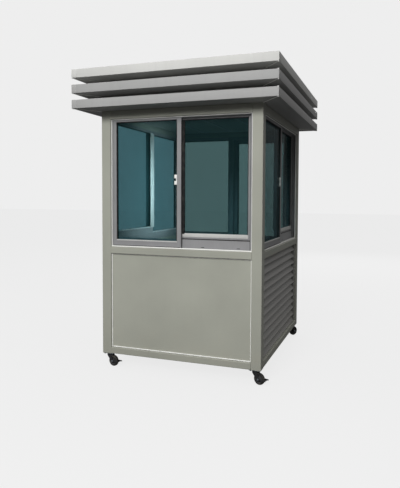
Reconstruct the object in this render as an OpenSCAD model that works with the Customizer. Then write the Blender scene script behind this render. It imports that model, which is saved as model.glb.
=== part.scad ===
// Security guard booth: a metal cabin with glazing all round, a flat roof with three stepped fascia
// bands, louvred lower walls at both sides, a glazed door at the back and four swivel castors.
// X runs across the front, Y from the front to the back and Z up.
// The origin is on the ground, below the middle of the cabin.

/* [Cabin] */
// Width of the cabin over its corner posts
body_w = 1500; // [1250:10:1800]
// Depth of the cabin over its corner posts
body_d = 1720; // [1430:10:2070]
// Height of the cabin's underside above the ground
base_z = 130; // [125:1:160]
// Height of the soffit above the ground
soffit_z = 2340; // [2200:10:2640]

/* [Frame] */
// Width of the square corner posts, which is also the thickness of the walls
post = 90; // [84:1:108]
// Rounding of the posts' and rails' edges
post_r = 6; // [2:0.5:8]
// Height of the bottom rails
base_rail_h = 58; // [48:1:70]
// Height of the sill's upper face above the ground
sill_z = 1116; // [930:1:1340]
// Height of the sill rails
sill_rail_h = 62; // [50:1:75]
// Height of the head rails
head_rail_h = 75; // [62:1:90]
// How far panels and window frames are set back from the posts' outer faces
reveal = 22; // [14:1:22]

/* [Lower walls] */
// Thickness of the insulated panels
panel_t = 40; // [30:1:48]
// Thickness of the inner linings behind the louvres
lining_t = 12; // [9:1:16]
// Number of louvre blades
louvre_count = 12; // [9:1:14]
// Thickness of a louvre blade
blade_t = 3; // [2:0.5:4]
// Depth of the louvre, from its outer to its inner face
louvre_d = 42; // [34:1:46]
// Width of the louvre's side rails
louvre_rail = 22; // [18:1:28]

/* [Windows] */
// Width of a window frame's jamb that shows beside the sash
jamb = 18; // [16:1:24]
// Height of a window frame's head
frame_head = 10; // [10:1:16]
// Thickness of a sliding sash
sash_t = 28; // [23:0.5:29]
// Gap between the two sliding sashes
sash_gap = 6; // [4:0.5:8]
// Width of a sash's stiles
stile = 38; // [32:1:46]
// Height of a sash's bottom rail
sash_foot = 56; // [46:1:68]
// Height of a sash's top rail
sash_top = 22; // [20:1:30]
// Height of the inner track above the sill
inner_track = 74; // [60:1:88]
// Thickness of the glass
glass_t = 6; // [5:0.5:8]
// How deep the glass sits in its frame
glass_bite = 8; // [6:1:9]
// Width of the fixed back window's frame
fixed_frame = 30; // [24:1:36]

/* [Door] */
// Width of the door post between the door and the fixed window
mullion = 20; // [18:1:24]
// Thickness of the door leaf
door_t = 40; // [34:1:44]
// Gap round the door leaf
door_gap = 7; // [6:0.5:9]
// Width of the door's stiles and top rail
door_stile = 44; // [38:1:52]
// Height of the door's bottom rail
door_foot = 90; // [76:1:108]
// Width of the door frame beside and over the leaf
door_frame_w = 20; // [17:1:24]
// Radius of the hinge pins
pin_r = 3; // [2.5:0.1:3.6]
// Number of hinges
hinge_count = 3; // [2:1:4]
// Height of a hinge
hinge_h = 90; // [76:1:108]

/* [Roof] */
// How far the roof stands out at each side
side_overhang = 170; // [140:5:205]
// How far the roof stands out at the front and back
end_overhang = 215; // [180:5:260]
// Height of one fascia band
band_h = 75; // [62:1:90]
// Gap between two fascia bands
band_gap = 57; // [48:1:68]
// Thickness of the bands' sheet metal
sheet = 3; // [2:0.5:4]
// Thickness of the roof's inner walls
core_t = 40; // [32:1:48]
// Thickness of the roof deck
deck_t = 20; // [16:1:24]
// Depth of the roof deck below the top edge of the fascia
deck_drop = 15; // [10:1:20]

/* [Floor] */
// Thickness of the floor
floor_t = 18; // [15:1:22]
// Number of bearers below the floor
bearer_count = 3; // [2:1:5]
// Thickness of the ceiling
ceiling_t = 18; // [15:1:22]

/* [Castors] */
// Radius of the wheels
wheel_r = 50; // [44:1:52]
// Width of the tyres
tyre_w = 28; // [24:1:34]
// Radius of the axles
axle_r = 6; // [5:0.1:7]
// Distance of the axle behind the swivel pin
trail = 35; // [29:1:42]
// Width of the square mounting plates
plate_w = 100; // [84:1:120]
// Thickness of the mounting plates
plate_t = 6; // [5:0.5:8]
// Radius of the swivel pin
swivel_r = 8; // [7:0.1:9]

/* [Hidden] */

$fn = 64;
cut = 1;              // how far a cut runs past the face that it opens
clear = 0.5;          // clearance of pieces that slide into a channel
run_clear = 0.08;     // radial clearance of a pin in its bore

// heights
floor_z = base_z + base_rail_h;
sill_rail_z = sill_z - sill_rail_h;
head_z = soffit_z - head_rail_h;
band_pitch = band_h + band_gap;
roof_z = soffit_z + 2 * band_pitch + band_h;
deck_z = roof_z - deck_drop - deck_t;

// clear widths between the posts
front_w = body_w - 2 * post;
side_w = body_d - 2 * post;
roof_w = body_w + 2 * side_overhang;
roof_d = body_d + 2 * end_overhang;

// louvres
rail_lip = 4;         // how far a louvre's side rails stand in front of its blades
blade_gap = 2;        // gap between the blades and the lining behind them
blade_rise = 0.8;     // rise of a blade, as a share of the blades' pitch
drip_z = 2;           // height of a blade's drip edge above the start of its pitch
drip_h = 7;           // height of the upright drip edge

// sliding windows
channel_jamb = 10;    // depth of the sashes' channel in a jamb
channel_head = 8;     // depth of the sashes' channel in the head
track_z = 3;          // height of the outer track above the sill
nose_h = 10;          // height of the lip in front of the inner track
glass_clear = 0.2;    // clearance of the glass in its groove
outer_y = reveal + track_z;
inner_y = outer_y + sash_t + sash_gap;

// window catches, on the inner sash's meeting stile
latch_raise = 30;     // height of the catches above the middle of the windows
latch_edge = 6;       // width of the stile that shows beside a catch
latch_h = 80;
latch_t = 4;
hook_h = 28;
hook_t = 8;
hook_reach = 26;      // how far the hook reaches past its own stile

// door, in the back wall
jamb_gap = 5;         // gap beside the leaf at its hinges, and behind it at the stop
stop_w = 12;          // width of the stop that the leaf closes against
door_jamb_x = -(front_w / 2 - door_frame_w);
leaf_x0 = door_jamb_x + jamb_gap;
leaf_x1 = -door_gap;
leaf_z0 = floor_z + door_gap;
leaf_z1 = head_z - door_frame_w - door_gap;
hinge_r = 7;          // outer radius of a hinge's knuckle
hinge_plate = 2.5;    // thickness of a hinge's plates
pin_out = hinge_r + 0.5;            // distance of the pins in front of the door's face
web_y = [2, hinge_r - 0.5];         // depth of the web between a knuckle and its plate, from the pin
plate_x = hinge_r + 1;              // distance of a hinge's plates from the pin
plate_margin = 6;     // width of the stile that shows beside a hinge's plate
hinge_x = (door_jamb_x + leaf_x0) / 2;
hinge_y = reveal - pin_out;
knuckle_gap = 0.5;    // gap between two knuckles of a hinge
hinge_pitch = (leaf_z1 - leaf_z0 - 2 * door_foot - hinge_h) / (hinge_count - 1);
hinge_z = [for (i = [0 : hinge_count - 1]) leaf_z0 + door_foot + i * hinge_pitch];

// castors: places of the swivel pins, and the way each fork trails
plate_inset = 5;      // least distance of a plate inside the cabin's sides
plate_reach = 15;     // least reach of a plate past its post, below the bottom rails
castor_inset = max(plate_inset, post + plate_reach - plate_w);
castor_x = body_w / 2 - castor_inset - plate_w / 2;
castor_y = body_d / 2 - castor_inset - plate_w / 2;
race_h = 12;          // height of the bearing below a plate
race_r = 30;
crown_t = 6.5;        // thickness of a fork's crown
crown_gap = 0.3;      // gap between the bearing and the crown
crown_z = base_z - plate_t - race_h - crown_gap - crown_t;
pin_foot = 2;         // how far the swivel pin stands out below the crown
pin_head_z = 5;       // how far the pin's head reaches below the crown
pin_head_r = swivel_r + 2.5;
cheek_t = 4;
hub_w = tyre_w + 10;
cheek_x = hub_w / 2 + 0.5;
heading_front_left = -12;
heading_front_right = -20;
heading_back_left = 120;
heading_back_right = 55;
pedal_gap = 7;        // gap between a tyre and the brake pedal behind it
pedal_l = 18;
pedal_t = 4;
arm_h = 10;           // height and thickness of the pedal's arms
arm_t = 3;
axle_out = 4;         // how far the axle's ends stand out of the cheeks
crown_lip = 6;        // how far a fork's crown runs past its cheeks
cheek_lip = 8;        // depth of a cheek's front edge below the crown
rim_share = 0.72;     // radius of the rim, as a share of the wheel's
web_share = 0.45;     // thickness of the wheel's web, as a share of the tyre's
hub_wall = 8;         // wall of the hub
tread_drop = 4;       // height and width of the tyre's sloping shoulders
tread_in = 6;

// ---- helpers ----

// Turns a wall drawn with its outer face on y = 0 to its own side of the cabin. Seen from outside,
// X runs to the right, and Y runs into the wall.
module on_wall(side) {
    turn = side == "front" ? 0 : side == "right" ? 90 : side == "back" ? 180 : -90;
    depth = (side == "front" || side == "back") ? body_d : body_w;
    rotate([0, 0, turn]) translate([0, -depth / 2, 0]) children();
}

// A box from its lowest to its highest corner.
module block(low, high) {
    translate(low) cube(high - low);
}

// A rectangle with round corners, made of true arcs.
module round_rect(w, d, r) {
    square([w - 2 * r, d], center = true);
    square([w, d - 2 * r], center = true);
    for (x = [-1, 1], y = [-1, 1])
        translate([x * (w / 2 - r), y * (d / 2 - r)]) circle(r);
}

// A rectangular ring of one height, given by its outer size and wall.
module ring(w, d, wall_x, wall_y, h) {
    difference() {
        translate([-w / 2, -d / 2, 0]) cube([w, d, h]);
        translate([-w / 2 + wall_x, -d / 2 + wall_y, -cut])
            cube([w - 2 * wall_x, d - 2 * wall_y, h + 2 * cut]);
    }
}

// ---- frame ----

module corner_posts() {
    color("#97978d")
    for (x = [-1, 1], y = [-1, 1])
        translate([x * (body_w - post) / 2, y * (body_d - post) / 2, base_z])
            linear_extrude(soffit_z - base_z) round_rect(post, post, post_r);
}

// One rail of a wall from x0 to x1, with rounded edges.
module rail(x0, x1, z, h) {
    translate([x0, post / 2, z + h / 2]) rotate([90, 0, 90])
        linear_extrude(x1 - x0) round_rect(post, h, post_r);
}

// One rail from post to post on each wall.
module rails(z, h, sides) {
    for (side = sides) {
        w = (side == "front" || side == "back") ? front_w : side_w;
        on_wall(side) rail(-w / 2, w / 2, z, h);
    }
}

module base_rails() {
    color("#97978d") rails(base_z, base_rail_h, ["front", "right", "back", "left"]);
}

module sill_rails() {
    color("#97978d") {
        rails(sill_rail_z, sill_rail_h, ["front", "right", "left"]);
        on_wall("back") rail(mullion, front_w / 2, sill_rail_z, sill_rail_h);
    }
}

module head_rails() {
    color("#97978d") rails(head_z, head_rail_h, ["front", "right", "back", "left"]);
}

// ---- floor and ceiling ----

module floor_bearers() {
    spacing = side_w / (bearer_count + 1);
    color("#6b6b66")
    for (i = [1 : bearer_count])
        translate([0, -side_w / 2 + i * spacing, 0])
            block([-front_w / 2, -post / 4, base_z], [front_w / 2, post / 4, floor_z - floor_t]);
}

module floor_deck() {
    color("#5c5f5e")
        block([-front_w / 2, -side_w / 2, floor_z - floor_t], [front_w / 2, side_w / 2, floor_z]);
}

module ceiling() {
    color("#c9c9c4")
        block([-front_w / 2, -side_w / 2, soffit_z - ceiling_t], [front_w / 2, side_w / 2, soffit_z]);
}

// ---- lower walls ----

module front_panel() {
    color("#9a9a90") on_wall("front")
        block([-front_w / 2, reveal, floor_z], [front_w / 2, reveal + panel_t, sill_rail_z]);
}

module back_panel() {
    color("#9a9a90") on_wall("back")
        block([mullion, reveal, floor_z], [front_w / 2, reveal + panel_t, sill_rail_z]);
}

// A weather louvre: a frame with sloping blades, whose lower edges stand at its outer face.
module louvre() {
    w = side_w - 2 * louvre_rail;
    pitch = (sill_rail_z - floor_z) / louvre_count;
    rise = pitch * blade_rise;
    back = louvre_d - blade_gap;
    for (x = [-1, 1])
        translate([x * (side_w - louvre_rail) / 2, 0, 0])
            block([-louvre_rail / 2, reveal - rail_lip, floor_z],
                [louvre_rail / 2, reveal + louvre_d, sill_rail_z]);
    for (i = [0 : louvre_count - 1])
        translate([-w / 2, reveal, floor_z + i * pitch])
            rotate([90, 0, 90]) linear_extrude(w)
                polygon([[0, drip_z], [blade_t, drip_z], [blade_t, drip_z + drip_h], [back, rise + drip_z],
                    [back, rise + 2 * blade_t], [0, drip_z + drip_h + blade_t]]);
}

module left_louvre() {
    color("#6e6e69") on_wall("left") louvre();
}

module right_louvre() {
    color("#6e6e69") on_wall("right") louvre();
}

module side_linings() {
    color("#c9c9c4")
    for (side = ["left", "right"])
        on_wall(side) block([-side_w / 2, reveal + louvre_d, floor_z],
            [side_w / 2, reveal + louvre_d + lining_t, sill_rail_z]);
}

// ---- sliding windows ----

// The frame of a sliding window: jambs and head with two channels, and a sill with a low outer and
// a raised inner track.
module window_frame(w) {
    sill_top = sill_z + inner_track;
    difference() {
        block([-w / 2, reveal, sill_z], [w / 2, post, head_z]);
        block([-w / 2 + jamb, reveal - cut, sill_top + nose_h],
            [w / 2 - jamb, post + cut, head_z - frame_head]);
        // outer channel, open at the front of the sill
        block([-w / 2 + jamb, reveal - cut, sill_z + track_z],
            [w / 2 - jamb, inner_y - sash_gap / 2, sill_top + 2 * nose_h]);
        sash_channel(w, outer_y, sill_z + track_z);
        // inner channel, above the raised track
        sash_channel(w, inner_y, sill_top);
        block([-w / 2 + jamb, inner_y + sash_t / 2, sill_top],
            [w / 2 - jamb, post + cut, sill_top + 2 * nose_h]);
    }
}

module sash_channel(w, y, z) {
    inset = jamb - channel_jamb;
    block([-w / 2 + inset, y - clear, z],
        [w / 2 - inset, y + sash_t + clear, head_z - frame_head + channel_head]);
}

// A glazed frame with a groove for its glass.
module sash(x0, x1, z0, z1, y, t, side_rail, foot, top) {
    difference() {
        block([x0, y, z0], [x1, y + t, z1]);
        block([x0 + side_rail, y - cut, z0 + foot], [x1 - side_rail, y + t + cut, z1 - top]);
        glass_space(x0, x1, z0, z1, y, t, side_rail, foot, top, glass_clear);
    }
}

// The place of the glass in a sash, grown by a clearance on each side except below.
module glass_space(x0, x1, z0, z1, y, t, side_rail, foot, top, gap) {
    block([x0 + side_rail - glass_bite - gap, y + (t - glass_t) / 2 - gap, z0 + foot - glass_bite],
        [x1 - side_rail + glass_bite + gap, y + (t + glass_t) / 2 + gap, z1 - top + glass_bite + gap]);
}

// Outer corners of the two sashes: the outer one stands at the left, seen from outside.
function sash_x0(w, inner) = inner ? -stile / 2 : -(w / 2 - jamb + channel_jamb - clear);
function sash_x1(w, inner) = -sash_x0(w, !inner);
function sash_z0(inner) = sill_z + (inner ? inner_track : track_z);
function sash_z1() = head_z - frame_head + channel_head - clear;

module sashes(w) {
    for (inner = [false, true])
        sash(sash_x0(w, inner), sash_x1(w, inner), sash_z0(inner), sash_z1(),
            inner ? inner_y : outer_y, sash_t, stile, sash_foot, sash_top);
}

module sash_glass(w) {
    for (inner = [false, true])
        glass_space(sash_x0(w, inner), sash_x1(w, inner), sash_z0(inner), sash_z1(),
            inner ? inner_y : outer_y, sash_t, stile, sash_foot, sash_top, 0);
}

module front_window_frame() {
    color("#929093") on_wall("front") window_frame(front_w);
}

module left_window_frame() {
    color("#929093") on_wall("left") window_frame(side_w);
}

module right_window_frame() {
    color("#929093") on_wall("right") window_frame(side_w);
}

module front_sashes() {
    color("#9c9a9d") on_wall("front") sashes(front_w);
}

module left_sashes() {
    color("#9c9a9d") on_wall("left") sashes(side_w);
}

module right_sashes() {
    color("#9c9a9d") on_wall("right") sashes(side_w);
}

module front_glass() {
    color("#3f6a6e", 0.5) on_wall("front") sash_glass(front_w);
}

module left_glass() {
    color("#3f6a6e", 0.5) on_wall("left") sash_glass(side_w);
}

module right_glass() {
    color("#3f6a6e", 0.5) on_wall("right") sash_glass(side_w);
}

// A catch on the inner face of each inner sash, reaching over the meeting stiles.
module window_latches() {
    z = (sill_z + head_z) / 2 + latch_raise;
    color("#e4e4e2")
    for (side = ["front", "left", "right"])
        on_wall(side) translate([0, inner_y + sash_t, z]) {
            block([-stile / 2 + latch_edge, 0, -latch_h / 2],
                [stile / 2 - latch_edge, latch_t, latch_h / 2]);
            block([-stile / 2 - hook_reach, latch_t, -hook_h / 2],
                [stile / 2 - latch_edge, latch_t + hook_t, hook_h / 2]);
        }
}

// ---- fixed window beside the door ----

module back_window_frame() {
    color("#929093") on_wall("back")
        sash(mullion, front_w / 2, sill_z, head_z, reveal, post - reveal,
            fixed_frame, fixed_frame, fixed_frame);
}

module back_glass() {
    color("#3f6a6e", 0.5) on_wall("back")
        glass_space(mullion, front_w / 2, sill_z, head_z, reveal, post - reveal,
            fixed_frame, fixed_frame, fixed_frame, 0);
}

// ---- door ----

// The hinge jamb, the head and the door post in one frame, with a stop behind the leaf.
module door_frame() {
    stop_y = reveal + door_t + jamb_gap;
    color("#929093") on_wall("back") difference() {
        block([-front_w / 2, reveal, floor_z], [mullion, post, head_z]);
        block([door_jamb_x, reveal - cut, floor_z - cut], [0, stop_y, head_z - door_frame_w]);
        block([door_jamb_x + stop_w, reveal, floor_z - cut],
            [-stop_w, post + cut, head_z - door_frame_w - stop_w]);
    }
}

// The leaf's frame, with one opening below and one above its middle rail, both grooved.
module door_leaf() {
    color("#9c9a9d") on_wall("back") difference() {
        block([leaf_x0, reveal, leaf_z0], [leaf_x1, reveal + door_t, leaf_z1]);
        for (z = [[leaf_z0 + door_foot, sill_rail_z], [sill_z, leaf_z1 - door_stile]])
            block([leaf_x0 + door_stile, reveal - cut, z[0]],
                [leaf_x1 - door_stile, reveal + door_t + cut, z[1]]);
        door_infill(leaf_z0 + door_foot, sill_rail_z, panel_t / 2, glass_clear);
        door_infill(sill_z, leaf_z1 - door_stile, glass_t, glass_clear);
    }
}

// A sheet in the middle of the leaf's thickness that fills an opening and its grooves.
module door_infill(z0, z1, t, gap) {
    mid = reveal + door_t / 2;
    block([leaf_x0 + door_stile - glass_bite - gap, mid - t / 2 - gap, z0 - glass_bite],
        [leaf_x1 - door_stile + glass_bite + gap, mid + t / 2 + gap, z1 + glass_bite + gap]);
}

module door_panel() {
    color("#9a9a90") on_wall("back") door_infill(leaf_z0 + door_foot, sill_rail_z, panel_t / 2, 0);
}

module door_glass() {
    color("#3f6a6e", 0.5) on_wall("back") door_infill(sill_z, leaf_z1 - door_stile, glass_t, 0);
}

// A lever handle on a long plate, on both faces of the lock stile.
module door_handle() {
    shield = [30, 4, 170];
    spindle_r = 10;
    spindle_l = 48;
    lever_r = 7;
    lever_l = 110;
    lever_z = sill_rail_z + sill_rail_h / 2;
    color("#c8c8c8") on_wall("back")
    translate([leaf_x1 - door_stile / 2, 0, lever_z])
    for (face = [[reveal, -1], [reveal + door_t, 1]])
        translate([0, face[0], 0]) scale([1, face[1], 1]) {
            translate([-shield[0] / 2, 0, -shield[2] / 2]) cube(shield);
            rotate([-90, 0, 0]) cylinder(h = spindle_l, r = spindle_r);
            translate([0, spindle_l - spindle_r, 0]) rotate([0, -90, 0]) cylinder(h = lever_l, r = lever_r);
        }
}

// The fixed half of each hinge: a plate on the jamb, two knuckles and the pin through all three.
module door_hinge_pins() {
    third = hinge_h / 3;
    color("#b9b9b6") on_wall("back")
    for (z = hinge_z) translate([hinge_x, hinge_y, z]) {
        block([-door_frame_w, pin_out - hinge_plate, 0], [-plate_x, pin_out, hinge_h]);
        for (k = [0, 2 * third]) translate([0, 0, k]) {
            cylinder(h = third, r = hinge_r);
            block([-plate_x - 1, web_y[0], 0], [0, web_y[1], third]);
            block([-plate_x - 1, web_y[0], 0], [-plate_x, pin_out, third]);
        }
        cylinder(h = hinge_h, r = pin_r);
    }
}

// The moving half of each hinge: a plate on the leaf and the middle knuckle, bored for the pin.
module door_knuckles() {
    third = hinge_h / 3;
    color("#b9b9b6") on_wall("back")
    for (z = hinge_z) translate([hinge_x, hinge_y, z]) difference() {
        union() {
            block([plate_x, pin_out - hinge_plate, 0], [door_stile - plate_margin, pin_out, hinge_h]);
            translate([0, 0, third + knuckle_gap]) {
                cylinder(h = third - 2 * knuckle_gap, r = hinge_r);
                block([0, web_y[0], 0], [plate_x + 1, web_y[1], third - 2 * knuckle_gap]);
            }
        }
        translate([0, 0, -cut]) cylinder(h = hinge_h + 2 * cut, r = pin_r + run_clear);
    }
}

// ---- roof ----

// The roof's inner walls, in line with the cabin below.
module roof_core() {
    color("#8f8f88") translate([0, 0, soffit_z]) ring(body_w, body_d, core_t, core_t, deck_z - soffit_z);
}

// A folded sheet band: a fascia with a tray below it that runs in to the core.
module band(z) {
    translate([0, 0, z]) {
        ring(roof_w, roof_d, sheet, sheet, band_h);
        ring(roof_w, roof_d, side_overhang, end_overhang, sheet);
    }
}

// The flat sheet that closes a band from above.
module band_cover(z) {
    translate([0, 0, z + band_h - sheet]) ring(roof_w, roof_d, side_overhang, end_overhang, sheet);
}

module fascia_bottom() {
    color("#a8a8a4") {
        band(soffit_z);
        band_cover(soffit_z);
    }
}

module fascia_middle() {
    color("#b2b2b0") {
        band(soffit_z + band_pitch);
        band_cover(soffit_z + band_pitch);
    }
}

module fascia_top() {
    color("#cdcdc8") band(soffit_z + 2 * band_pitch);
}

module roof_deck() {
    color("#a8a8a4") block([-roof_w / 2 + sheet, -roof_d / 2 + sheet, deck_z],
        [roof_w / 2 - sheet, roof_d / 2 - sheet, deck_z + deck_t]);
}

// ---- castors ----

module at_castors() {
    for (x = [-1, 1], y = [-1, 1]) translate([x * castor_x, y * castor_y, 0]) children();
}

// Mounting plate, bearing and swivel pin of each castor.
module castor_plates() {
    color("#b4b4b0") at_castors() {
        translate([-plate_w / 2, -plate_w / 2, base_z - plate_t]) cube([plate_w, plate_w, plate_t]);
        translate([0, 0, base_z - plate_t - race_h]) cylinder(h = race_h + cut, r = race_r);
        translate([0, 0, crown_z - pin_foot]) cylinder(h = base_z - crown_z, r = swivel_r);
        translate([0, 0, crown_z - pin_head_z]) cylinder(h = pin_head_z - crown_gap, r = pin_head_r);
    }
}

// The fork hangs under the swivel pin and carries the axle, which lies behind the pin along +X.
// A castor with a brake has a pedal behind the wheel, on two arms from the axle.
module castor_fork(x, y, heading, brake) {
    foot = 14;                       // reach of a cheek's end round the axle
    taper = 4;                       // cut corners of a cheek's end
    front = -race_r + crown_lip;     // the fork's front edge
    back = foot + crown_lip;         // the crown's back edge
    top = crown_z + crown_t;
    axle_len = 2 * (cheek_x + cheek_t + axle_out);
    arm_y = cheek_x + cheek_t + arm_t / 2;
    translate([x, y, 0]) rotate([0, 0, heading]) {
        difference() {
            translate([0, 0, crown_z]) union() {
                cylinder(h = crown_t, r = race_r);
                block([front, -cheek_x - cheek_t, 0], [back, cheek_x + cheek_t, crown_t]);
            }
            translate([0, 0, crown_z - cut]) cylinder(h = crown_t + 2 * cut, r = swivel_r + run_clear);
        }
        for (s = [-1, 1])
            translate([0, s * (cheek_x + cheek_t / 2) + cheek_t / 2, 0]) rotate([90, 0, 0])
                linear_extrude(cheek_t)
                    polygon([[front, top], [front, crown_z - cheek_lip], [trail - foot, wheel_r - axle_r],
                        [trail - foot + taper, wheel_r - foot], [trail + foot - taper, wheel_r - foot],
                        [trail + foot, wheel_r - axle_r], [back, crown_z], [back, top]]);
        translate([trail, axle_len / 2, wheel_r]) rotate([90, 0, 0]) cylinder(h = axle_len, r = axle_r);
        if (brake) {
            pedal_x = trail + wheel_r + pedal_gap;
            for (s = [-1, 1])
                block([trail, s * arm_y - arm_t / 2, wheel_r - arm_h / 2],
                    [pedal_x + pedal_l, s * arm_y + arm_t / 2, wheel_r + arm_h / 2]);
            block([pedal_x, -cheek_x - cheek_t, wheel_r + arm_h / 2 - pedal_t],
                [pedal_x + pedal_l, cheek_x + cheek_t, wheel_r + arm_h / 2]);
        }
    }
}

// Wheel with a solid tyre and a wider hub, bored for the axle.
module castor_wheel(x, y, heading) {
    rim_r = wheel_r * rim_share;
    web_w = tyre_w * web_share;
    bore_r = axle_r + run_clear;
    hub_r = axle_r + hub_wall;
    shoulder_r = wheel_r - tread_drop;
    tread_w = tyre_w - 2 * tread_in;
    translate([x, y, 0]) rotate([0, 0, heading]) translate([trail, 0, wheel_r]) rotate([90, 0, 0])
        rotate_extrude() polygon([
            [bore_r, -hub_w / 2], [hub_r, -hub_w / 2], [hub_r + 1, -web_w / 2],
            [rim_r, -web_w / 2], [rim_r, -tyre_w / 2], [shoulder_r, -tyre_w / 2], [wheel_r, -tread_w / 2],
            [wheel_r, tread_w / 2], [shoulder_r, tyre_w / 2], [rim_r, tyre_w / 2], [rim_r, web_w / 2],
            [hub_r + 1, web_w / 2], [hub_r, hub_w / 2], [bore_r, hub_w / 2]]);
}

module castor_fork_front_left() {
    color("#b4b4b0") castor_fork(-castor_x, -castor_y, heading_front_left, true);
}

module castor_fork_front_right() {
    color("#b4b4b0") castor_fork(castor_x, -castor_y, heading_front_right, true);
}

module castor_fork_back_left() {
    color("#b4b4b0") castor_fork(-castor_x, castor_y, heading_back_left, false);
}

module castor_fork_back_right() {
    color("#b4b4b0") castor_fork(castor_x, castor_y, heading_back_right, false);
}

module castor_wheel_front_left() {
    color("#2b2b2b") castor_wheel(-castor_x, -castor_y, heading_front_left);
}

module castor_wheel_front_right() {
    color("#2b2b2b") castor_wheel(castor_x, -castor_y, heading_front_right);
}

module castor_wheel_back_left() {
    color("#2b2b2b") castor_wheel(-castor_x, castor_y, heading_back_left);
}

module castor_wheel_back_right() {
    color("#2b2b2b") castor_wheel(castor_x, castor_y, heading_back_right);
}

// ---- the whole booth ----

corner_posts();
base_rails();
sill_rails();
head_rails();
floor_bearers();
floor_deck();
ceiling();
front_panel();
back_panel();
left_louvre();
right_louvre();
side_linings();
front_window_frame();
left_window_frame();
right_window_frame();
back_window_frame();
front_sashes();
left_sashes();
right_sashes();
front_glass();
left_glass();
right_glass();
back_glass();
window_latches();
door_frame();
door_hinge_pins();
door_leaf();
door_panel();
door_glass();
door_handle();
door_knuckles();
roof_core();
fascia_bottom();
fascia_middle();
fascia_top();
roof_deck();
castor_plates();
castor_fork_front_left();
castor_fork_front_right();
castor_fork_back_left();
castor_fork_back_right();
castor_wheel_front_left();
castor_wheel_front_right();
castor_wheel_back_left();
castor_wheel_back_right();
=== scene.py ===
# %% [markdown]
# # A security guard booth
# This lesson dresses a small glazed metal cabin on castors. Its solid parts, sizes and hinges come from
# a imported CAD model, which stays fixed. Blender adds what gives the booth its looks: folded roof
# sheets, rounded profiles, gaskets, screws and castors in detail, and a node material for every surface.
# The cells run from top to bottom, and each tool is made just before it is first needed.

# %% Loading the frame
import math

import bmesh
import bpy
from mathutils import Matrix, Vector


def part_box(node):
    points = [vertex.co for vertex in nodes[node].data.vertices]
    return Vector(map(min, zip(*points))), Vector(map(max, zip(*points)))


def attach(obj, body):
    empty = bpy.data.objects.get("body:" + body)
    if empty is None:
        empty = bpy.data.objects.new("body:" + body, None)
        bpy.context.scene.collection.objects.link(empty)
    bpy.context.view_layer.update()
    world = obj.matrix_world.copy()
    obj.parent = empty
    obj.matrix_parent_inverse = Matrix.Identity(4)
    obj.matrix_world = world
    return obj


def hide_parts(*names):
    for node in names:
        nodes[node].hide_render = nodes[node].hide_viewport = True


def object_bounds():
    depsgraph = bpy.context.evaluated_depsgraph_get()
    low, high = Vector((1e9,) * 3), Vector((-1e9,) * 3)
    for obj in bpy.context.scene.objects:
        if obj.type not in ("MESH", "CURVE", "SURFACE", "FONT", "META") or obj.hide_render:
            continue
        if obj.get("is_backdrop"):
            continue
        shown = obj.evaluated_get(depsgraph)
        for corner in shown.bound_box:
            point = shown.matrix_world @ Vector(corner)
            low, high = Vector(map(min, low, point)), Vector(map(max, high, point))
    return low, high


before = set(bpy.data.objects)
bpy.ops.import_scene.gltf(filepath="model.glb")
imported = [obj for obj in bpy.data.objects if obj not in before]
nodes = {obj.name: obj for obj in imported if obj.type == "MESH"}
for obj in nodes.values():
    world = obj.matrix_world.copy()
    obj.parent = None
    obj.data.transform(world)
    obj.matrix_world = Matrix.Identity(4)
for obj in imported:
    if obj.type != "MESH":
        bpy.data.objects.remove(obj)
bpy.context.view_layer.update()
MM = 0.001

# %% [markdown]
# Every place is measured from the frame. The four corner posts give the cabin's width and depth, and
# the rails give the sill and the head. Each wall gets a matrix that turns a drawing of it, with X to
# the right as seen from outside and Y into the wall, to its own side of the cabin. One drawing of a
# window then serves three walls, which is simpler than modelling each wall in place.

# %% Measuring the cabin
post_low, post_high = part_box("corner_posts")
body_w, body_d = post_high.x - post_low.x, post_high.y - post_low.y
sill_rail_z, sill_z = (corner.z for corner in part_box("sill_rails"))
head_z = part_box("head_rails")[0].z
floor_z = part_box("floor_deck")[1].z
TURN = {"front": 0, "right": 90, "back": 180, "left": -90}


def wall(side):
    """The matrix from a wall's own directions, with its outer plane on y = 0, to the cabin's."""
    depth = body_d if side in ("front", "back") else body_w
    return Matrix.Rotation(math.radians(TURN[side]), 4, "Z") @ Matrix.Translation((0, -depth / 2, 0))


print(f"Cabin {body_w:.3f} x {body_d:.3f} m, sill at {sill_z:.3f} m and head at {head_z:.3f} m")

# %% [markdown]
# The camera stands where a person would, a little to the right of the booth, and looks slightly down.
# Its lens is a moderate wide angle, so the roof's lines converge as they do for an eye at 1.57 m.
# A small shift sets the booth off the middle of the picture without turning the camera, which would
# tilt the posts.

# %% Camera
EYE = Vector((1.7303, -4.9288, 1.5745))
YAW, PITCH, ROLL = 19.3602, -2.791, 0.2876
LENS, SENSOR = 37.623, 36
SHIFT = (-0.0215, -0.0460)

scene = bpy.context.scene
camera_data = bpy.data.cameras.new("booth_view")
camera_data.lens, camera_data.sensor_width = LENS, SENSOR
camera_data.shift_x, camera_data.shift_y = SHIFT
camera = bpy.data.objects.new("booth_view", camera_data)
scene.collection.objects.link(camera)
turns = ((YAW, "Z"), (90 + PITCH, "X"), (ROLL, "Z"))
yaw, pitch, roll = [Matrix.Rotation(math.radians(angle), 4, axis) for angle, axis in turns]
camera.matrix_world = Matrix.Translation(EYE) @ yaw @ pitch @ roll
scene.camera = camera
print("The camera stands at", [round(x, 2) for x in EYE], "with a", LENS, "mm lens")

# %% [markdown]
# A material here is a chain of nodes. Written out node by node it would be long, so two small classes
# do the wiring. `Socket` wraps one output, and Python's own operators on it add Math nodes, so that
# `cloud + speck * 0.3` means what it says. `Finish` is one material, or the world's, and its `node`
# method adds any node: first its settings, then the values or links of its sockets. Numbers that are
# the same all over a surface stay plain values on the shader.

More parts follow.
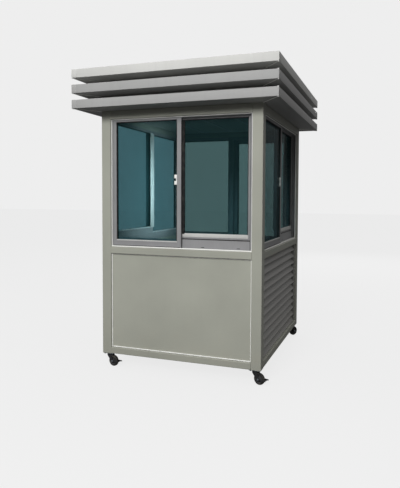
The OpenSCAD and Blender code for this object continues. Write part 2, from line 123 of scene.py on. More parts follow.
# %% Tools for materials
class Socket:
    """One output of a node. Sums on it add Math nodes."""

    def __init__(self, finish, socket):
        self.finish, self.socket = finish, socket

    def math(self, operation, other):
        return self.finish.node("ShaderNodeMath", {"operation": operation}, {0: self, 1: other})

    def __add__(self, other):
        return self.math("ADD", other)

    def __mul__(self, other):
        return self.math("MULTIPLY", other)


class Finish:
    """The nodes of a new material or of the world, with a point's place on the object to start from."""

    def __init__(self, name, world=None):
        self.material = world or bpy.data.materials.new(name)
        self.material.use_nodes = True
        self.tree = self.material.node_tree
        self.tree.nodes.clear()
        self.place = self.node("ShaderNodeTexCoord", {}, {}, "Object")

    def node(self, kind, settings, sockets, output=None):
        """Adds a node with its settings, then its sockets' values or links, and returns one output."""
        made = self.tree.nodes.new(kind)
        for key, value in settings.items():
            setattr(made, key, value)
        for key, value in sockets.items():
            live = [s for s in made.inputs if s.enabled]
            into = live[key] if isinstance(key, int) else next(s for s in live if s.name == key)
            if isinstance(value, Socket):
                self.tree.links.new(value.socket, into)
            else:
                into.default_value = value
        outs = [s for s in made.outputs if s.enabled]
        return Socket(self, next((s for s in outs if output in (None, s.name)), None))

    def noise(self, scale, detail=2.0, stretch=(1, 1, 1)):
        """Soft noise from 0 to 1, with `scale` features to the metre, drawn out along small stretches."""
        at = self.node("ShaderNodeMapping", {}, {"Vector": self.place, "Scale": stretch})
        return self.node("ShaderNodeTexNoise", {}, {"Vector": at, "Scale": scale, "Detail": detail}, "Fac")

    def between(self, value, low, high, start=0.0, end=1.0):
        """Spreads the part of a value between low and high over start to end."""
        sockets = {"Value": value, "From Min": low, "From Max": high, "To Min": start, "To Max": end}
        return self.node("ShaderNodeMapRange", {"clamp": True}, sockets)

    def mix(self, share, first, second):
        """Two colours, mixed by a share from 0 to 1."""
        return self.node("ShaderNodeMix", {"data_type": "RGBA"}, {"Factor": share, "A": first, "B": second})

    def drifting(self, cloud, colour, drift):
        """A colour that grows a little darker and lighter with a cloud of noise."""
        darker, lighter = shade(colour, 1 - drift), shade(colour, 1 + drift)
        return self.mix(self.between(cloud, 0.3, 0.7), darker, lighter)

    def bump(self, height, distance, strength, normal=None):
        """A normal from a height from 0 to 1 that stands for `distance` metres."""
        sockets = {"Height": height, "Distance": distance, "Strength": strength}
        if normal:
            sockets["Normal"] = normal
        return self.node("ShaderNodeBump", {}, sockets)

    def surface(self, sockets):
        """Closes the material with a Principled shader."""
        shader = self.node("ShaderNodeBsdfPrincipled", {}, sockets)
        self.node("ShaderNodeOutputMaterial", {}, {"Surface": shader})
        return self.material


def linear(*display):
    """A colour as a screen shows it, from 11 to 255, as linear light with an alpha of 1."""
    return tuple(round(((c / 255 + 0.055) / 1.055) ** 2.4, 4) for c in display) + (1,)


def shade(colour, factor):
    """A lighter or darker version of a colour."""
    return tuple(min(1, c * factor) for c in colour[:3]) + (1,)


print("A mid grey of 150 is", linear(150, 150, 150)[0], "in linear light")

# %% [markdown]
# The studio is plain. A pale floor and a pale surround of the same tone keep the eye on the booth.
# Four lamps light it. A large soft box in front lights the front and leaves the right side in shade. A
# small one brings out the right corner of the fascia and the post below it, a third lights the back
# wall with its door, and a lamp inside the cabin shows the left wall through the front glass. The
# surround looks brighter to the camera than it shines on the booth, so the soffit and the louvres
# stay dark. The floor does the same, and a little of its tone comes from the light that falls on it,
# so the castors still have their soft shadows.

# %% Floor, surround and lights
PALE, WHITE = linear(238, 238, 238), (1, 1, 1, 1)
HORIZON_LIGHT, ZENITH_LIGHT = 0.08, 0.80
FLOOR_SIZE = 90.0
FLOOR_GLOW, FLOOR_TINT, FLOOR_BOUNCE = 0.795, 0.06, 0.12
LAMPS = {  # place, aim, size in metres, power in watts and spread of the beam in degrees
    "key_soft_box": (Vector((-0.6, -9.0, 5.4)), Vector((0, 0, 1.3)), 2.4, 585, 180),
    "corner_soft_box": (Vector((0.75, -4.2, 3.3)), Vector((0.5, -0.8, 1.9)), 1.0, 44, 180),
    "back_soft_box": (Vector((0.4, 9.0, 4.4)), Vector((0, 0, 1.3)), 2.4, 260, 180),
    "cabin_lamp": (Vector((0.50, -0.10, 1.70)), Vector((-0.7, 0.0, 1.60)), 0.3, 8.5, 75),
}


def camera_or(finish, seen, other):
    """Mixes two shaders: the first for what the camera sees, the second for light."""
    ray = finish.node("ShaderNodeLightPath", {}, {}, "Is Camera Ray")
    return finish.node("ShaderNodeMixShader", {}, {"Fac": ray, 1: other, 2: seen})


def lamp(name, at, aim, size, power, spread):
    """A square soft box that faces a point."""
    data = bpy.data.lights.new(name, "AREA")
    data.size, data.energy, data.spread = size, power, math.radians(spread)
    light = bpy.data.objects.new(name, data)
    scene.collection.objects.link(light)
    light.location = at
    light.rotation_mode = "QUATERNION"
    light.rotation_quaternion = (aim - at).to_track_quat("-Z", "Y")
    light.visible_camera = light.visible_glossy = False


scene.world = bpy.data.worlds.new("surround")
sky = Finish("surround", scene.world)
direction = sky.node("ShaderNodeTexCoord", {}, {}, "Generated")
upward = sky.node("ShaderNodeSeparateXYZ", {}, {"Vector": direction}, "Z")
seen = sky.node("ShaderNodeBackground", {}, {"Color": PALE})
dome = sky.between(upward, 0.0, 1.0, HORIZON_LIGHT, ZENITH_LIGHT)
shone = sky.node("ShaderNodeBackground", {}, {"Color": WHITE, "Strength": dome})
sky.node("ShaderNodeOutputWorld", {}, {"Surface": camera_or(sky, seen, shone)})

ground = Finish("floor_sweep")
glow = ground.node("ShaderNodeEmission", {}, {"Strength": FLOOR_GLOW})
matt = ground.node("ShaderNodeBsdfDiffuse", {}, {"Color": shade(WHITE, FLOOR_TINT)})
bounce = ground.node("ShaderNodeBsdfDiffuse", {}, {"Color": shade(WHITE, FLOOR_BOUNCE)})
lit = ground.node("ShaderNodeAddShader", {}, {0: glow, 1: matt})
ground.node("ShaderNodeOutputMaterial", {}, {"Surface": camera_or(ground, lit, bounce)})

bm = bmesh.new()
bmesh.ops.create_grid(bm, x_segments=1, y_segments=1, size=FLOOR_SIZE / 2)
floor_mesh = bpy.data.meshes.new("floor_sweep")
bm.to_mesh(floor_mesh)
bm.free()
floor_mesh.materials.append(ground.material)
floor = bpy.data.objects.new("floor_sweep", floor_mesh)
scene.collection.objects.link(floor)
floor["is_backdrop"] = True

for name, values in LAMPS.items():
    lamp(name, *values)
scene.view_settings.view_transform = "Standard"
print(len(LAMPS), "soft boxes and a floor of", FLOOR_SIZE, "m are in place")

# %% [markdown]
# Most of the booth is painted steel. Real satin enamel isn't one flat colour: its tone drifts slightly
# over a panel, rain leaves faint upright streaks, dust gathers low down, and the sprayed film has the
# fine ripple called orange peel. All four come from noise in metres, so they stay true to scale on a
# post and on a panel alike. One function makes every paint, and only its values change.

# %% Paint
CLOUDS, STREAKS, SPECKS, PATCHES, PEEL, RIPPLES = 2.2, 26.0, 420.0, 9.0, 340.0, 5.0  # to the metre
UPRIGHT = (1, 1, 0.05)
PEEL_DEPTH, RIPPLE_DEPTH = 0.12 * MM, 1.6 * MM
DUST, DUST_THICK_Z, DUST_END_Z = linear(150, 143, 128), 0.10, 0.55


def paint(name, colour, roughness=0.42, drift=0.05, streaks=0.03, dust=0.10, coat=0.12):
    """Satin enamel with an uneven tone, rain streaks, low dust and orange peel."""
    finish = Finish(name)
    cloud = finish.noise(CLOUDS, 4.0)
    rain = finish.between(finish.noise(STREAKS, 2.0, UPRIGHT), 0.52, 0.72)
    patches = finish.between(finish.noise(PATCHES, 3.0), 0.35, 0.75)
    height = finish.node("ShaderNodeSeparateXYZ", {}, {"Vector": finish.place}, "Z")
    low = finish.between(height, DUST_THICK_Z, DUST_END_Z, 1.0, 0.0) * patches
    tone = finish.drifting(cloud, colour, drift)
    tone = finish.mix(rain * streaks * 4, tone, shade(colour, 0.82))
    tone = finish.mix(low * dust * 2, tone, DUST)
    uneven = cloud + finish.noise(SPECKS, 1.0) * 0.3
    rough = finish.between(uneven, 0.3, 1.0, roughness - 0.07, roughness + 0.09) + low * 0.15
    peel = finish.bump(finish.noise(PEEL, 2.0), PEEL_DEPTH, 0.55)
    ripple = finish.bump(finish.noise(RIPPLES, 1.0), RIPPLE_DEPTH, 0.30, peel)
    return finish.surface({"Base Color": tone, "Roughness": rough, "Normal": ripple,
                           "Coat Weight": coat, "Coat Roughness": 0.22})


FRAME_GREY = linear(150, 151, 141)
frame_paint = paint("frame_enamel", FRAME_GREY)
panel_paint = paint("panel_enamel", shade(FRAME_GREY, 1.08), 0.46, 0.06, 0.01)
louvre_paint = paint("louvre_enamel", linear(140, 139, 136), 0.5)
roof_paint = paint("roof_enamel", linear(150, 150, 149), 0.55, 0.06, 0.05, 0.0)
# The top band's lighter copy of the roof enamel is painted light: it stands for the top band catching more
# light than the two bands below it.
roof_lit_paint = paint("roof_enamel_painted_light", linear(186, 186, 183), 0.55, 0.05, 0.05, 0.0)
# The roof core's darker copy of the roof enamel is painted shade, for the shadow under the overhang and in
# the recesses between the bands.
soffit_shade_paint = paint("soffit_enamel_painted_shade", linear(122, 121, 116), 0.5, 0.08, 0.0, 0.0)
lining_paint = paint("lining_enamel", linear(186, 186, 180), 0.55, 0.05, 0.02, 0.05, 0.0)
bearer_paint = paint("underframe_enamel", linear(84, 84, 81), 0.6, 0.12, 0.05, 0.2, 0.0)
print("Eight enamels share one recipe")

# %% [markdown]
# The windows are drawn aluminium with a satin anodised skin. Drawing leaves very fine lines, and the
# etch before anodising leaves a soft, almost dry gloss. A metal shader that is only partly metallic
# gives that look, and noise drawn out along one direction stands for the fine lines. The steel of the
# handles and hinges is brushed, and plated or enamelled parts have an even speckle instead.

# %% Metals
LINE_DEPTH = 0.05 * MM


def metal(name, colour, roughness, metallic, grain=300.0, stretch=(1, 1, 0.02), drift=0.06):
    """A drawn, brushed or plated metal with fine lines along one direction."""
    finish = Finish(name)
    lines = finish.noise(grain, 3.0, stretch)
    cloud = finish.noise(7.0, 3.0)
    tone = finish.drifting(cloud, colour, drift)
    tone = finish.mix(finish.between(lines, 0.45, 0.75) * 0.22, tone, shade(colour, 0.78))
    rough = finish.between(lines + cloud * 0.4, 0.4, 1.1, roughness - 0.06, roughness + 0.08)
    return finish.surface({"Base Color": tone, "Roughness": rough, "Metallic": metallic,
                           "Normal": finish.bump(lines, LINE_DEPTH, 0.6)})


window_alloy = metal("anodised_alloy", linear(138, 138, 139), 0.50, 0.10)
cover_alloy = metal("mill_alloy", linear(204, 204, 201), 0.42, 0.25)
handle_steel = metal("satin_steel", linear(200, 199, 196), 0.28, 0.9, 500.0, (0.03, 1, 1))
hinge_steel = metal("brushed_hinge_steel", linear(176, 175, 172), 0.34, 0.9)
zinc = metal("zinc_plate", linear(168, 176, 184), 0.33, 0.8, 90.0, (1, 1, 1), 0.14)
black_steel = metal("black_enamelled_steel", linear(44, 44, 46), 0.36, 0.1, 120.0, (1, 1, 1), 0.2)
print("Six metals share one recipe")

# %% [markdown]
# The glass is tinted float glass. A shader that bends light would need many bounces and would keep the
# lamps out of the cabin. A sheet this thin bends next to nothing, so a tinted transparent shader does
# the same work: each face takes out a little red, and a share of glossy dark teal on top gives the
# sheen, more of it where the glass is seen at a slant. Faint smears keep the sheen alive. The door and
# the pane beside it have grey glass, which takes more light out and hides the street.

# %% Glass
GLASS_FACE_TINT = (0.61, 0.76, 0.79, 1)
BACK_FACE_TINT = (0.54, 0.59, 0.57, 1)
GLASS_BODY = linear(34, 62, 64)
FILM, SLANT_SHARE, SMEAR_SHARE = 0.10, 0.35, 0.06


def glass(name, tint):
    """Tinted float glass with a film of sheen that grows with the slant of the view."""
    finish = Finish(name)
    smear = finish.noise(3.5, 4.0, (1, 1, 0.35))
    slant = finish.node("ShaderNodeFresnel", {}, {"IOR": 1.45})
    clear = finish.node("ShaderNodeBsdfTransparent", {}, {"Color": tint})
    rough = finish.between(smear, 0.3, 0.8, 0.03, 0.12)
    sheen = finish.node("ShaderNodeBsdfPrincipled", {},
                        {"Base Color": GLASS_BODY, "Roughness": rough, "IOR": 1.5})
    share = finish.between(slant * SLANT_SHARE + smear * SMEAR_SHARE + FILM, 0.0, 1.0)
    mixed = finish.node("ShaderNodeMixShader", {}, {"Fac": share, 1: clear, 2: sheen})
    finish.node("ShaderNodeOutputMaterial", {}, {"Surface": mixed})
    return finish.material


tinted_glass = glass("tinted_float_glass", GLASS_FACE_TINT)
back_pane_glass = glass("grey_float_glass", BACK_FACE_TINT)
print("The glass keeps", round(GLASS_FACE_TINT[0] ** 2, 2), "of the red light through one pane")

# %% [markdown]
# Rubber, plastic and floor sheet have no grain. Rubber is almost black, dusty and dull. The white
# plastic of the catches is glossy with slight scuffs. The floor sheet carries raised studs, which are
# drawn by wrapping the place to a small square and measuring the distance to its middle.

# %% Rubber, plastic and floor sheet
GREY_DUST, PORE_DEPTH = linear(128, 124, 114), 0.1 * MM


def moulded(name, colour, roughness, drift=0.15, dusty=0.25):
    """Rubber or plastic with fine pores and patches of dust."""
    finish = Finish(name)
    cloud = finish.noise(30.0, 4.0)
    fine = finish.noise(260.0, 2.0)
    tone = finish.drifting(cloud, colour, drift)
    tone = finish.mix(finish.between(cloud, 0.5, 0.8) * dusty, tone, GREY_DUST)
    rough = finish.between(fine + cloud, 0.6, 1.4, roughness - 0.08, roughness + 0.1)
    return finish.surface({"Base Color": tone, "Roughness": rough,
                           "Normal": finish.bump(fine, PORE_DEPTH, 0.5)})


gasket_rubber = moulded("gasket_rubber", linear(30, 30, 31), 0.6)
tyre_rubber = moulded("tyre_rubber", linear(38, 37, 36), 0.7, 0.2, 0.4)
wheel_plastic = moulded("wheel_core_plastic", linear(58, 58, 60), 0.45)
latch_plastic = moulded("latch_plastic", linear(226, 226, 222), 0.25, 0.03, 0.05)
# This near-white sealant is partly painted highlight: on the openings' beads it gives bright lines where
# ledges and edges catch the light.
sealant_and_highlight = moulded("joint_sealant_and_highlight", linear(232, 232, 228), 0.5, 0.04, 0.10)
STUD_PITCH, STUD_RADIUS, STUD_SLOPE, STUD_H = 28 * MM, 11 * MM, 1.5 * MM, 1 * MM


def floor_sheet(name, colour):
    """Rubber floor sheet with round studs in rows."""
    finish = Finish(name)
    wrap = finish.node("ShaderNodeVectorMath", {"operation": "WRAP"},
                       {0: finish.place, 1: (STUD_PITCH / 2,) * 3, 2: (-STUD_PITCH / 2,) * 3})
    flat = finish.node("ShaderNodeVectorMath", {"operation": "MULTIPLY"}, {0: wrap, 1: (1, 1, 0)})
    far = finish.node("ShaderNodeVectorMath", {"operation": "LENGTH"}, {0: flat}, "Value")
    stud = finish.between(far, STUD_RADIUS, STUD_RADIUS - STUD_SLOPE)
    scuff = finish.noise(14.0, 5.0)
    tone = finish.mix(finish.between(scuff, 0.4, 0.75), colour, shade(colour, 1.5))
    tone = finish.mix(stud * 0.3, tone, shade(colour, 1.7))
    rough = finish.between(scuff, 0.3, 0.8, 0.4, 0.65)
    return finish.surface({"Base Color": tone, "Roughness": rough,
                           "Normal": finish.bump(stud, STUD_H, 0.8)})


floor_covering = floor_sheet("studded_floor_sheet", linear(92, 94, 94))
print("Studs stand every", round(STUD_PITCH / MM), "mm")

# %% [markdown]
# Each CAD node that stays in view takes the finish of its real surface. Nodes that get a better shape
# further down are listed here too, so nothing is ever left without a finish.

# %% Finishes on the frame
FINISHES = {
    frame_paint: "corner_posts base_rails sill_rails head_rails",
    panel_paint: "front_panel back_panel door_panel",
    louvre_paint: "left_louvre right_louvre",
    lining_paint: "side_linings ceiling",
    bearer_paint: "floor_bearers",
    floor_covering: "floor_deck",
    # The roof core takes the darker copy of the roof enamel: painted shade.
    soffit_shade_paint: "roof_core",
    roof_paint: "roof_deck fascia_bottom fascia_middle",
    roof_lit_paint: "fascia_top",
    back_pane_glass: "back_glass door_glass",
    zinc: "castor_plates",
    latch_plastic: "window_latches",
    handle_steel: "door_handle",
    hinge_steel: "door_hinge_pins door_knuckles",
}
BY_NAME = {name: finish for finish, names in FINISHES.items() for name in names.split()}
BY_ENDING = {"_glass": tinted_glass, "_sashes": window_alloy, "_window_frame": window_alloy,
             "door_frame": window_alloy, "door_leaf": window_alloy}
for name, node in nodes.items():
    finish = BY_NAME.get(name) or next((f for end, f in BY_ENDING.items() if name.endswith(end)), None)
    if finish is None:
        finish = tyre_rubber if "wheel" in name else black_steel
    node.data.materials.clear()
    node.data.materials.append(finish)
print(len(nodes), "nodes have their finishes")

# %% [markdown]
# The pieces below are all made the same way. A bmesh starts from a shape that Blender makes, operators
# cut, inset and bevel it, and `settle` turns it into an object: at the origin, with its place in its
# mesh, its faces outwards, its sharp edges marked, and riding on a body of the frame. `bar` is a
# rounded block, for everything that is drawn or sawn, and `ring` is a mitred frame of one width.

# %% Tools for shapes
CHANNEL_SIDE, CHANNEL_DEPTH, DRAWN_ROUND = 6 * MM, 1.2 * MM, 0.7 * MM
EASED, WELD = 0.8 * MM, 0.01 * MM
HEAD_SIDES, HEAD_ROUND, SOCKET_SHARE, SOCKET_UP, SOCKET_T = 12, 0.45, 0.42, 1.02, 0.1
made = []


def settle(bm, name, body, finish, place=None, stands_for=(), crease=32, outwards=True):
    """Makes a mesh into a finished piece that rides on a body."""
    if place is not None:
        bm.transform(place)
    if outwards:
        bmesh.ops.recalc_face_normals(bm, faces=bm.faces)
    for face in bm.faces:
        face.smooth = True
    for edge in bm.edges:
        edge.smooth = len(edge.link_faces) == 2 and edge.calc_face_angle() < math.radians(crease)
    mesh = bpy.data.meshes.new(name)
    bm.to_mesh(mesh)
    bm.free()
    mesh.materials.append(finish)
    piece = bpy.data.objects.new(name, mesh)
    scene.collection.objects.link(piece)
    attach(piece, body)
    if stands_for:
        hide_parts(*stands_for)
    made.append(piece)
    return piece


def round_edges(bm, edges, width, segments=2):
    """Rounds edges that already exist."""
    bmesh.ops.bevel(bm, geom=list(edges), offset=width, offset_type="OFFSET", segments=segments,
                    profile=0.5, affect="EDGES", material=-1)


def sharp(edges, least=1.0):
    """The edges between two faces that meet at more than an angle in radians."""
    return [e for e in edges if len(e.link_faces) == 2 and e.calc_face_angle() > least]


def bar(bm, low, high, rounding, segments=2):
    """A block from its lowest to its highest corner, with rounded edges."""
    low, high = Vector(low), Vector(high)
    place = Matrix.Translation((low + high) / 2) @ Matrix.Diagonal((*(high - low), 1))
    corners = bmesh.ops.create_cube(bm, size=1, matrix=place)["verts"]
    if rounding:
        round_edges(bm, {e for v in corners for e in v.link_edges}, rounding, segments)


def drawn(bm, low, high):
    """A drawn bar: rounded, with a shallow channel along its outer and its inner face."""
    before = set(bm.faces)
    bar(bm, low, high, 0)
    new = [f for f in bm.faces if f not in before]
    bm.normal_update()
    broad = [f for f in new if abs(f.normal.y) > 0.5]
    new += bmesh.ops.inset_individual(bm, faces=broad, thickness=CHANNEL_SIDE, depth=-CHANNEL_DEPTH,
                                      use_even_offset=True)["faces"]
    bm.normal_update()
    round_edges(bm, sharp({e for f in new for e in f.edges}), DRAWN_ROUND)


def ring(bm, low, high, width, rounding=0.6 * MM):
    """A mitred frame in a wall's plane: a face is inset, its middle taken out and the rest made deep."""
    low, high = Vector(low), Vector(high)
    corners = [(low.x, low.z), (high.x, low.z), (high.x, high.z), (low.x, high.z)]
    face = bm.faces.new([bm.verts.new((x, low.y, z)) for x, z in corners])
    face.normal_update()
    rim = bmesh.ops.inset_region(bm, faces=[face], thickness=width, use_boundary=True,
                                 use_even_offset=True)["faces"]
    bmesh.ops.delete(bm, geom=[face], context="FACES")
    pushed = bmesh.ops.extrude_face_region(bm, geom=rim)["geom"]
    moved = [v for v in pushed if isinstance(v, bmesh.types.BMVert)]
    bmesh.ops.translate(bm, verts=moved, vec=(0, high.y - low.y, 0))
    sides = {f for v in moved for f in v.link_faces} | set(rim)
    round_edges(bm, sharp({e for f in sides for e in f.edges}), rounding, 1)


def rod(bm, start, end, radius, segments, rounding=0.0):
    """A round bar between two points, or a hexagon with six segments."""
    start, end = Vector(start), Vector(end)
    axis = end - start
    place = Matrix.Translation((start + end) / 2) @ axis.to_track_quat("Z", "Y").to_matrix().to_4x4()
    points = bmesh.ops.create_cone(bm, cap_ends=True, segments=segments, radius1=radius, radius2=radius,
                                   depth=axis.length, matrix=place)["verts"]
    if rounding:
        caps = {f for v in points for f in v.link_faces if len(f.verts) > 4}
        round_edges(bm, {e for f in caps for e in f.edges}, rounding)


def screw(bm, at, out, size):
    """A pan-head screw with a hexagonal socket. Its head stands out along `out`."""
    radius, height = size
    at, up = Vector(at), Vector(out) * height
    rod(bm, at - up, at + up, radius, HEAD_SIDES, height * HEAD_ROUND)
    rod(bm, at + up * (SOCKET_UP - SOCKET_T), at + up * SOCKET_UP, radius * SOCKET_SHARE, 6)


def spun(bm, outline, place, steps=40):
    """Turns a closed outline of (radius, height) points round the Z axis of a place."""
    points = [bm.verts.new(place @ Vector((r, 0, h))) for r, h in outline]
    edges = [bm.edges.new(pair) for pair in zip(points, points[1:] + points[:1])]
    bmesh.ops.spin(bm, geom=points + edges, cent=place.translation, axis=place.to_3x3() @ Vector((0, 0, 1)),
                   angle=math.tau, steps=steps, use_merge=True)


def solids(node, place=Matrix()):
    """The boxes of a node's separate solids, in a wall's own directions, from left to right."""
    bm = bmesh.new()
    bm.from_mesh(nodes[node].data)
    bmesh.ops.remove_doubles(bm, verts=bm.verts, dist=WELD)
    bm.transform(place.inverted())
    boxes, left = [], set(bm.verts)
    while left:
        group, edge = set(), {left.pop()}
        while edge:
            group |= edge
            edge = {e.other_vert(v) for v in edge for e in v.link_edges} - group
        left -= group
        cols = list(zip(*(v.co for v in group)))
        boxes.append((Vector(map(min, cols)), Vector(map(max, cols))))
    bm.free()
    return sorted(boxes, key=lambda box: box[0].x)


def softened(node, name, body, finish, rounding):
    """A copy of a CAD node with its edges rounded: merged, freed of flat seams, then bevelled."""
    bm = bmesh.new()
    bm.from_mesh(nodes[node].data)
    bmesh.ops.remove_doubles(bm, verts=bm.verts, dist=WELD)
    bmesh.ops.dissolve_limit(bm, angle_limit=math.radians(0.5), verts=bm.verts, edges=bm.edges,
                             use_dissolve_boundaries=False)
    square = sharp(bm.edges, math.radians(40))
    bmesh.ops.bevel(bm, geom=square, offset=rounding, offset_type="OFFSET", segments=2, profile=0.5,
                    affect="EDGES", clamp_overlap=True, material=-1)
    return settle(bm, name, body, finish, stands_for=(node,))


def span(boxes):
    """The lowest and the highest corner of several boxes."""
    lows, highs = zip(*boxes)
    return Vector(map(min, zip(*lows))), Vector(map(max, zip(*highs)))


print("Bars, rings, rods, screws and turned rings are ready")

# %% [markdown]
# The roof's three bands are folded from sheet. Each runs from the roof's inner wall out under the
# overhang, turns up over a small bend to make the fascia, and, on the two lower bands, turns back in
# to close the top. A box does this well: its floor and lid are inset and opened, its long edges are
# bevelled into bends, and a Solidify modifier gives the sheet its thickness. The top band ends in a
# narrow hem in place of a lid, with the roof sheet lying inside it.

# %% Folded fascia bands
SHEET, BEND, CORNER_BEND = 1.6 * MM, 4 * MM, 1.5 * MM
HEM, HEM_DROP = 14 * MM, 9 * MM
core_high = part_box("roof_core")[1]


def open_up(bm, face, x, y):
    """Insets a flat face by any width, opens it, and fits the opening to half its sizes x and y."""
    bmesh.ops.inset_region(bm, faces=[face], thickness=HEM, use_even_offset=True)
    for v in face.verts:
        v.co.x, v.co.y = math.copysign(x, v.co.x), math.copysign(y, v.co.y)
    rim = list(face.edges)
    bmesh.ops.delete(bm, geom=[face], context="FACES")
    return rim


def folds(bm, least, most=math.inf):
    """The sharp edges whose ends differ in height by at least one value and by less than another."""
    return [e for e in sharp(bm.edges) if least <= abs(e.verts[0].co.z - e.verts[1].co.z) < most]


def folded_band(node, name, finish, lid):
    """One band of the roof's edge. Without a lid it ends in a hem."""
    low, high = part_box(node)
    bm = bmesh.new()
    bar(bm, low, high, 0)
    flats = sorted((f for f in bm.faces if abs(f.normal.z) > 0.5), key=lambda f: f.calc_center_median().z)
    open_up(bm, flats[0], core_high.x, core_high.y)
    if lid:
        open_up(bm, flats[1], core_high.x, core_high.y)
    else:
        rim = open_up(bm, flats[1], high.x - HEM, high.y - HEM)
        turned_in = bmesh.ops.extrude_edge_only(bm, edges=rim)["geom"]
        down = [v for v in turned_in if isinstance(v, bmesh.types.BMVert)]
        bmesh.ops.translate(bm, verts=down, vec=(0, 0, -HEM_DROP))
    bm.normal_update()
    round_edges(bm, folds(bm, 0, MM), BEND, 3)
    round_edges(bm, folds(bm, 5 * BEND), CORNER_BEND, 2)
    band = settle(bm, name, "cabin", finish, stands_for=(node,), outwards=False)
    wall_of_sheet = band.modifiers.new("sheet", "SOLIDIFY")
    wall_of_sheet.thickness, wall_of_sheet.offset = SHEET, -1


folded_band("fascia_bottom", "fascia_sheet_bottom", roof_paint, True)
folded_band("fascia_middle", "fascia_sheet_middle", roof_paint, True)
# The top band takes the lighter copy of the enamel, painted light.
folded_band("fascia_top", "fascia_sheet_top", roof_lit_paint, False)
print("Three bands are folded from", round(SHEET / MM, 1), "mm sheet")

# %% [markdown]
# Sheet comes in lengths, so a real fascia shows where it was joined. A strip laps each band near one
# corner of every side, the mitred corners of the trays are closed with a bead of sealant, and blind
# rivets hold the strips.

# %% Lap strips, mitre beads and rivets
STRIP_W, STRIP_T, STRIP_INSET, STRIP_ROUND = 46 * MM, 0.9 * MM, 30 * MM, 0.4 * MM
BEAD_R = 4 * MM
RIVET, RIVET_EDGE, RIVET_SHARE = (2.8 * MM, 0.9 * MM), 18 * MM, 0.32
BANDS = {"fascia_bottom": roof_paint, "fascia_middle": roof_paint, "fascia_top": roof_lit_paint}


def add(target, part, place):
    """Adds a part to a bigger piece at a place."""
    part.transform(place)
    mesh = bpy.data.meshes.new("part")
    part.to_mesh(mesh)
    part.free()
    target.from_mesh(mesh)
    bpy.data.meshes.remove(mesh)


beads, rivets = bmesh.new(), bmesh.new()
for node, finish in BANDS.items():
    low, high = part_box(node)
    strips = bmesh.new()
    for side in TURN:
        half_w, half_d = (high.x, high.y) if side in ("front", "back") else (high.y, high.x)
        turn = Matrix.Rotation(math.radians(TURN[side]), 4, "Z")
        strip, rivet = bmesh.new(), bmesh.new()
        x, face_y = STRIP_INSET - half_w, -half_d - STRIP_T
        bar(strip, (x - STRIP_W / 2, face_y, low.z + BEND), (x + STRIP_W / 2, -half_d, high.z - BEND),
            STRIP_ROUND)
        for dx in (-STRIP_W * RIVET_SHARE, STRIP_W * RIVET_SHARE):
            for z in (low.z + RIVET_EDGE, high.z - RIVET_EDGE):
                screw(rivet, (x + dx, face_y, z), (0, -1, 0), RIVET)
        add(strips, strip, turn)
        add(rivets, rivet, turn)
    settle(strips, node + "_laps", "cabin", finish)
    for sx in (-1, 1):
        for sy in (-1, 1):
            outer = Vector((sx * (high.x - BEND), sy * (high.y - BEND), 0))
            inner = Vector((sx * core_high.x, sy * core_high.y, 0))
            for z in (low.z,) if node == "fascia_top" else (low.z, high.z):
                rod(beads, (outer.x, outer.y, z), (inner.x, inner.y, z), BEAD_R, 8)
settle(beads, "fascia_mitre_beads", "cabin", sealant_and_highlight)
settle(rivets, "fascia_rivets", "cabin", cover_alloy)
print("Lap strips, beads and rivets close the bands")

# %% [markdown]
# The roof is covered with long sheets joined by low standing seams, which run from front to back so
# that water leaves at the back. A folded flashing seals the edge under the fascia's hem, a row of
# screws holds it, and two round outlets with a grate drain the back corners.

# %% Roof covering
SEAMS, SEAM_W, SEAM_H, SEAM_GAP, SEAM_FOOT = 6, 16 * MM, 10 * MM, 10 * MM, 1.2 * MM
FLASH_W, FLASH_T, FLASH_GAP = 60 * MM, 2 * MM, 4 * MM
DECK_SCREW, SCREW_PITCH, SCREW_SHARE = (5 * MM, 2 * MM), 300 * MM, 0.7
OUTLET = [(30, -2), (62, -2), (62, 1), (50, 3), (36, 3), (30, 0)]
OUTLET_INSET, GRATE_R, GRATE_BARS, GRATE_PITCH, GRATE_Z = 160 * MM, 34 * MM, 5, 12 * MM, 3 * MM
deck_low, deck_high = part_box("roof_deck")
seams, flashing, deck_screws, outlets = (bmesh.new() for _ in range(4))
run = deck_high.y - FLASH_W - SEAM_GAP
for i in range(1, SEAMS + 1):
    x = deck_low.x + (deck_high.x - deck_low.x) * i / (SEAMS + 1)
    for half, top, rounding, steps in ((SEAM_W / 2, SEAM_H, 3 * MM, 3), (SEAM_W, SEAM_FOOT, 0.4 * MM, 2)):
        bar(seams, (x - half, -run, deck_high.z - MM), (x + half, run, deck_high.z + top), rounding, steps)
flat = Matrix.Rotation(math.radians(90), 4, "X")
rim = bmesh.new()
edge_x, edge_y = deck_high.x - FLASH_GAP, deck_high.y - FLASH_GAP
ring(rim, (-edge_x, 0, -edge_y), (edge_x, FLASH_T, edge_y), FLASH_W, 0.5 * MM)
add(flashing, rim, Matrix.Translation((0, 0, deck_high.z + FLASH_T)) @ flat.inverted())
for half, other, swap in ((edge_x, edge_y, False), (edge_y, edge_x, True)):
    count = round(2 * half / SCREW_PITCH)
    for i in range(1, count):
        along = -half + 2 * half * i / count
        for s in (-1, 1):
            across = s * (other - FLASH_W * SCREW_SHARE)
            spot = (across, along) if swap else (along, across)
            screw(deck_screws, (*spot, deck_high.z + FLASH_T), (0, 0, 1), DECK_SCREW)
for s in (-1, 1):
    spot = Matrix.Translation((s * (edge_x - OUTLET_INSET), edge_y - OUTLET_INSET, deck_high.z))
    spun(outlets, [(r * MM, h * MM) for r, h in OUTLET], spot, 32)
    for i in range(GRATE_BARS):
        x = (i - GRATE_BARS // 2) * GRATE_PITCH
        reach = math.sqrt(GRATE_R ** 2 - x ** 2)
        rod(outlets, spot @ Vector((x, -reach, GRATE_Z)), spot @ Vector((x, reach, GRATE_Z)), 2 * MM, 8)
settle(seams, "roof_seams", "cabin", roof_paint)
settle(flashing, "roof_flashing", "cabin", roof_paint)
settle(deck_screws, "roof_screws", "cabin", cover_alloy)
settle(outlets, "roof_outlets", "cabin", black_steel)
print(SEAMS, "seams cross the roof")
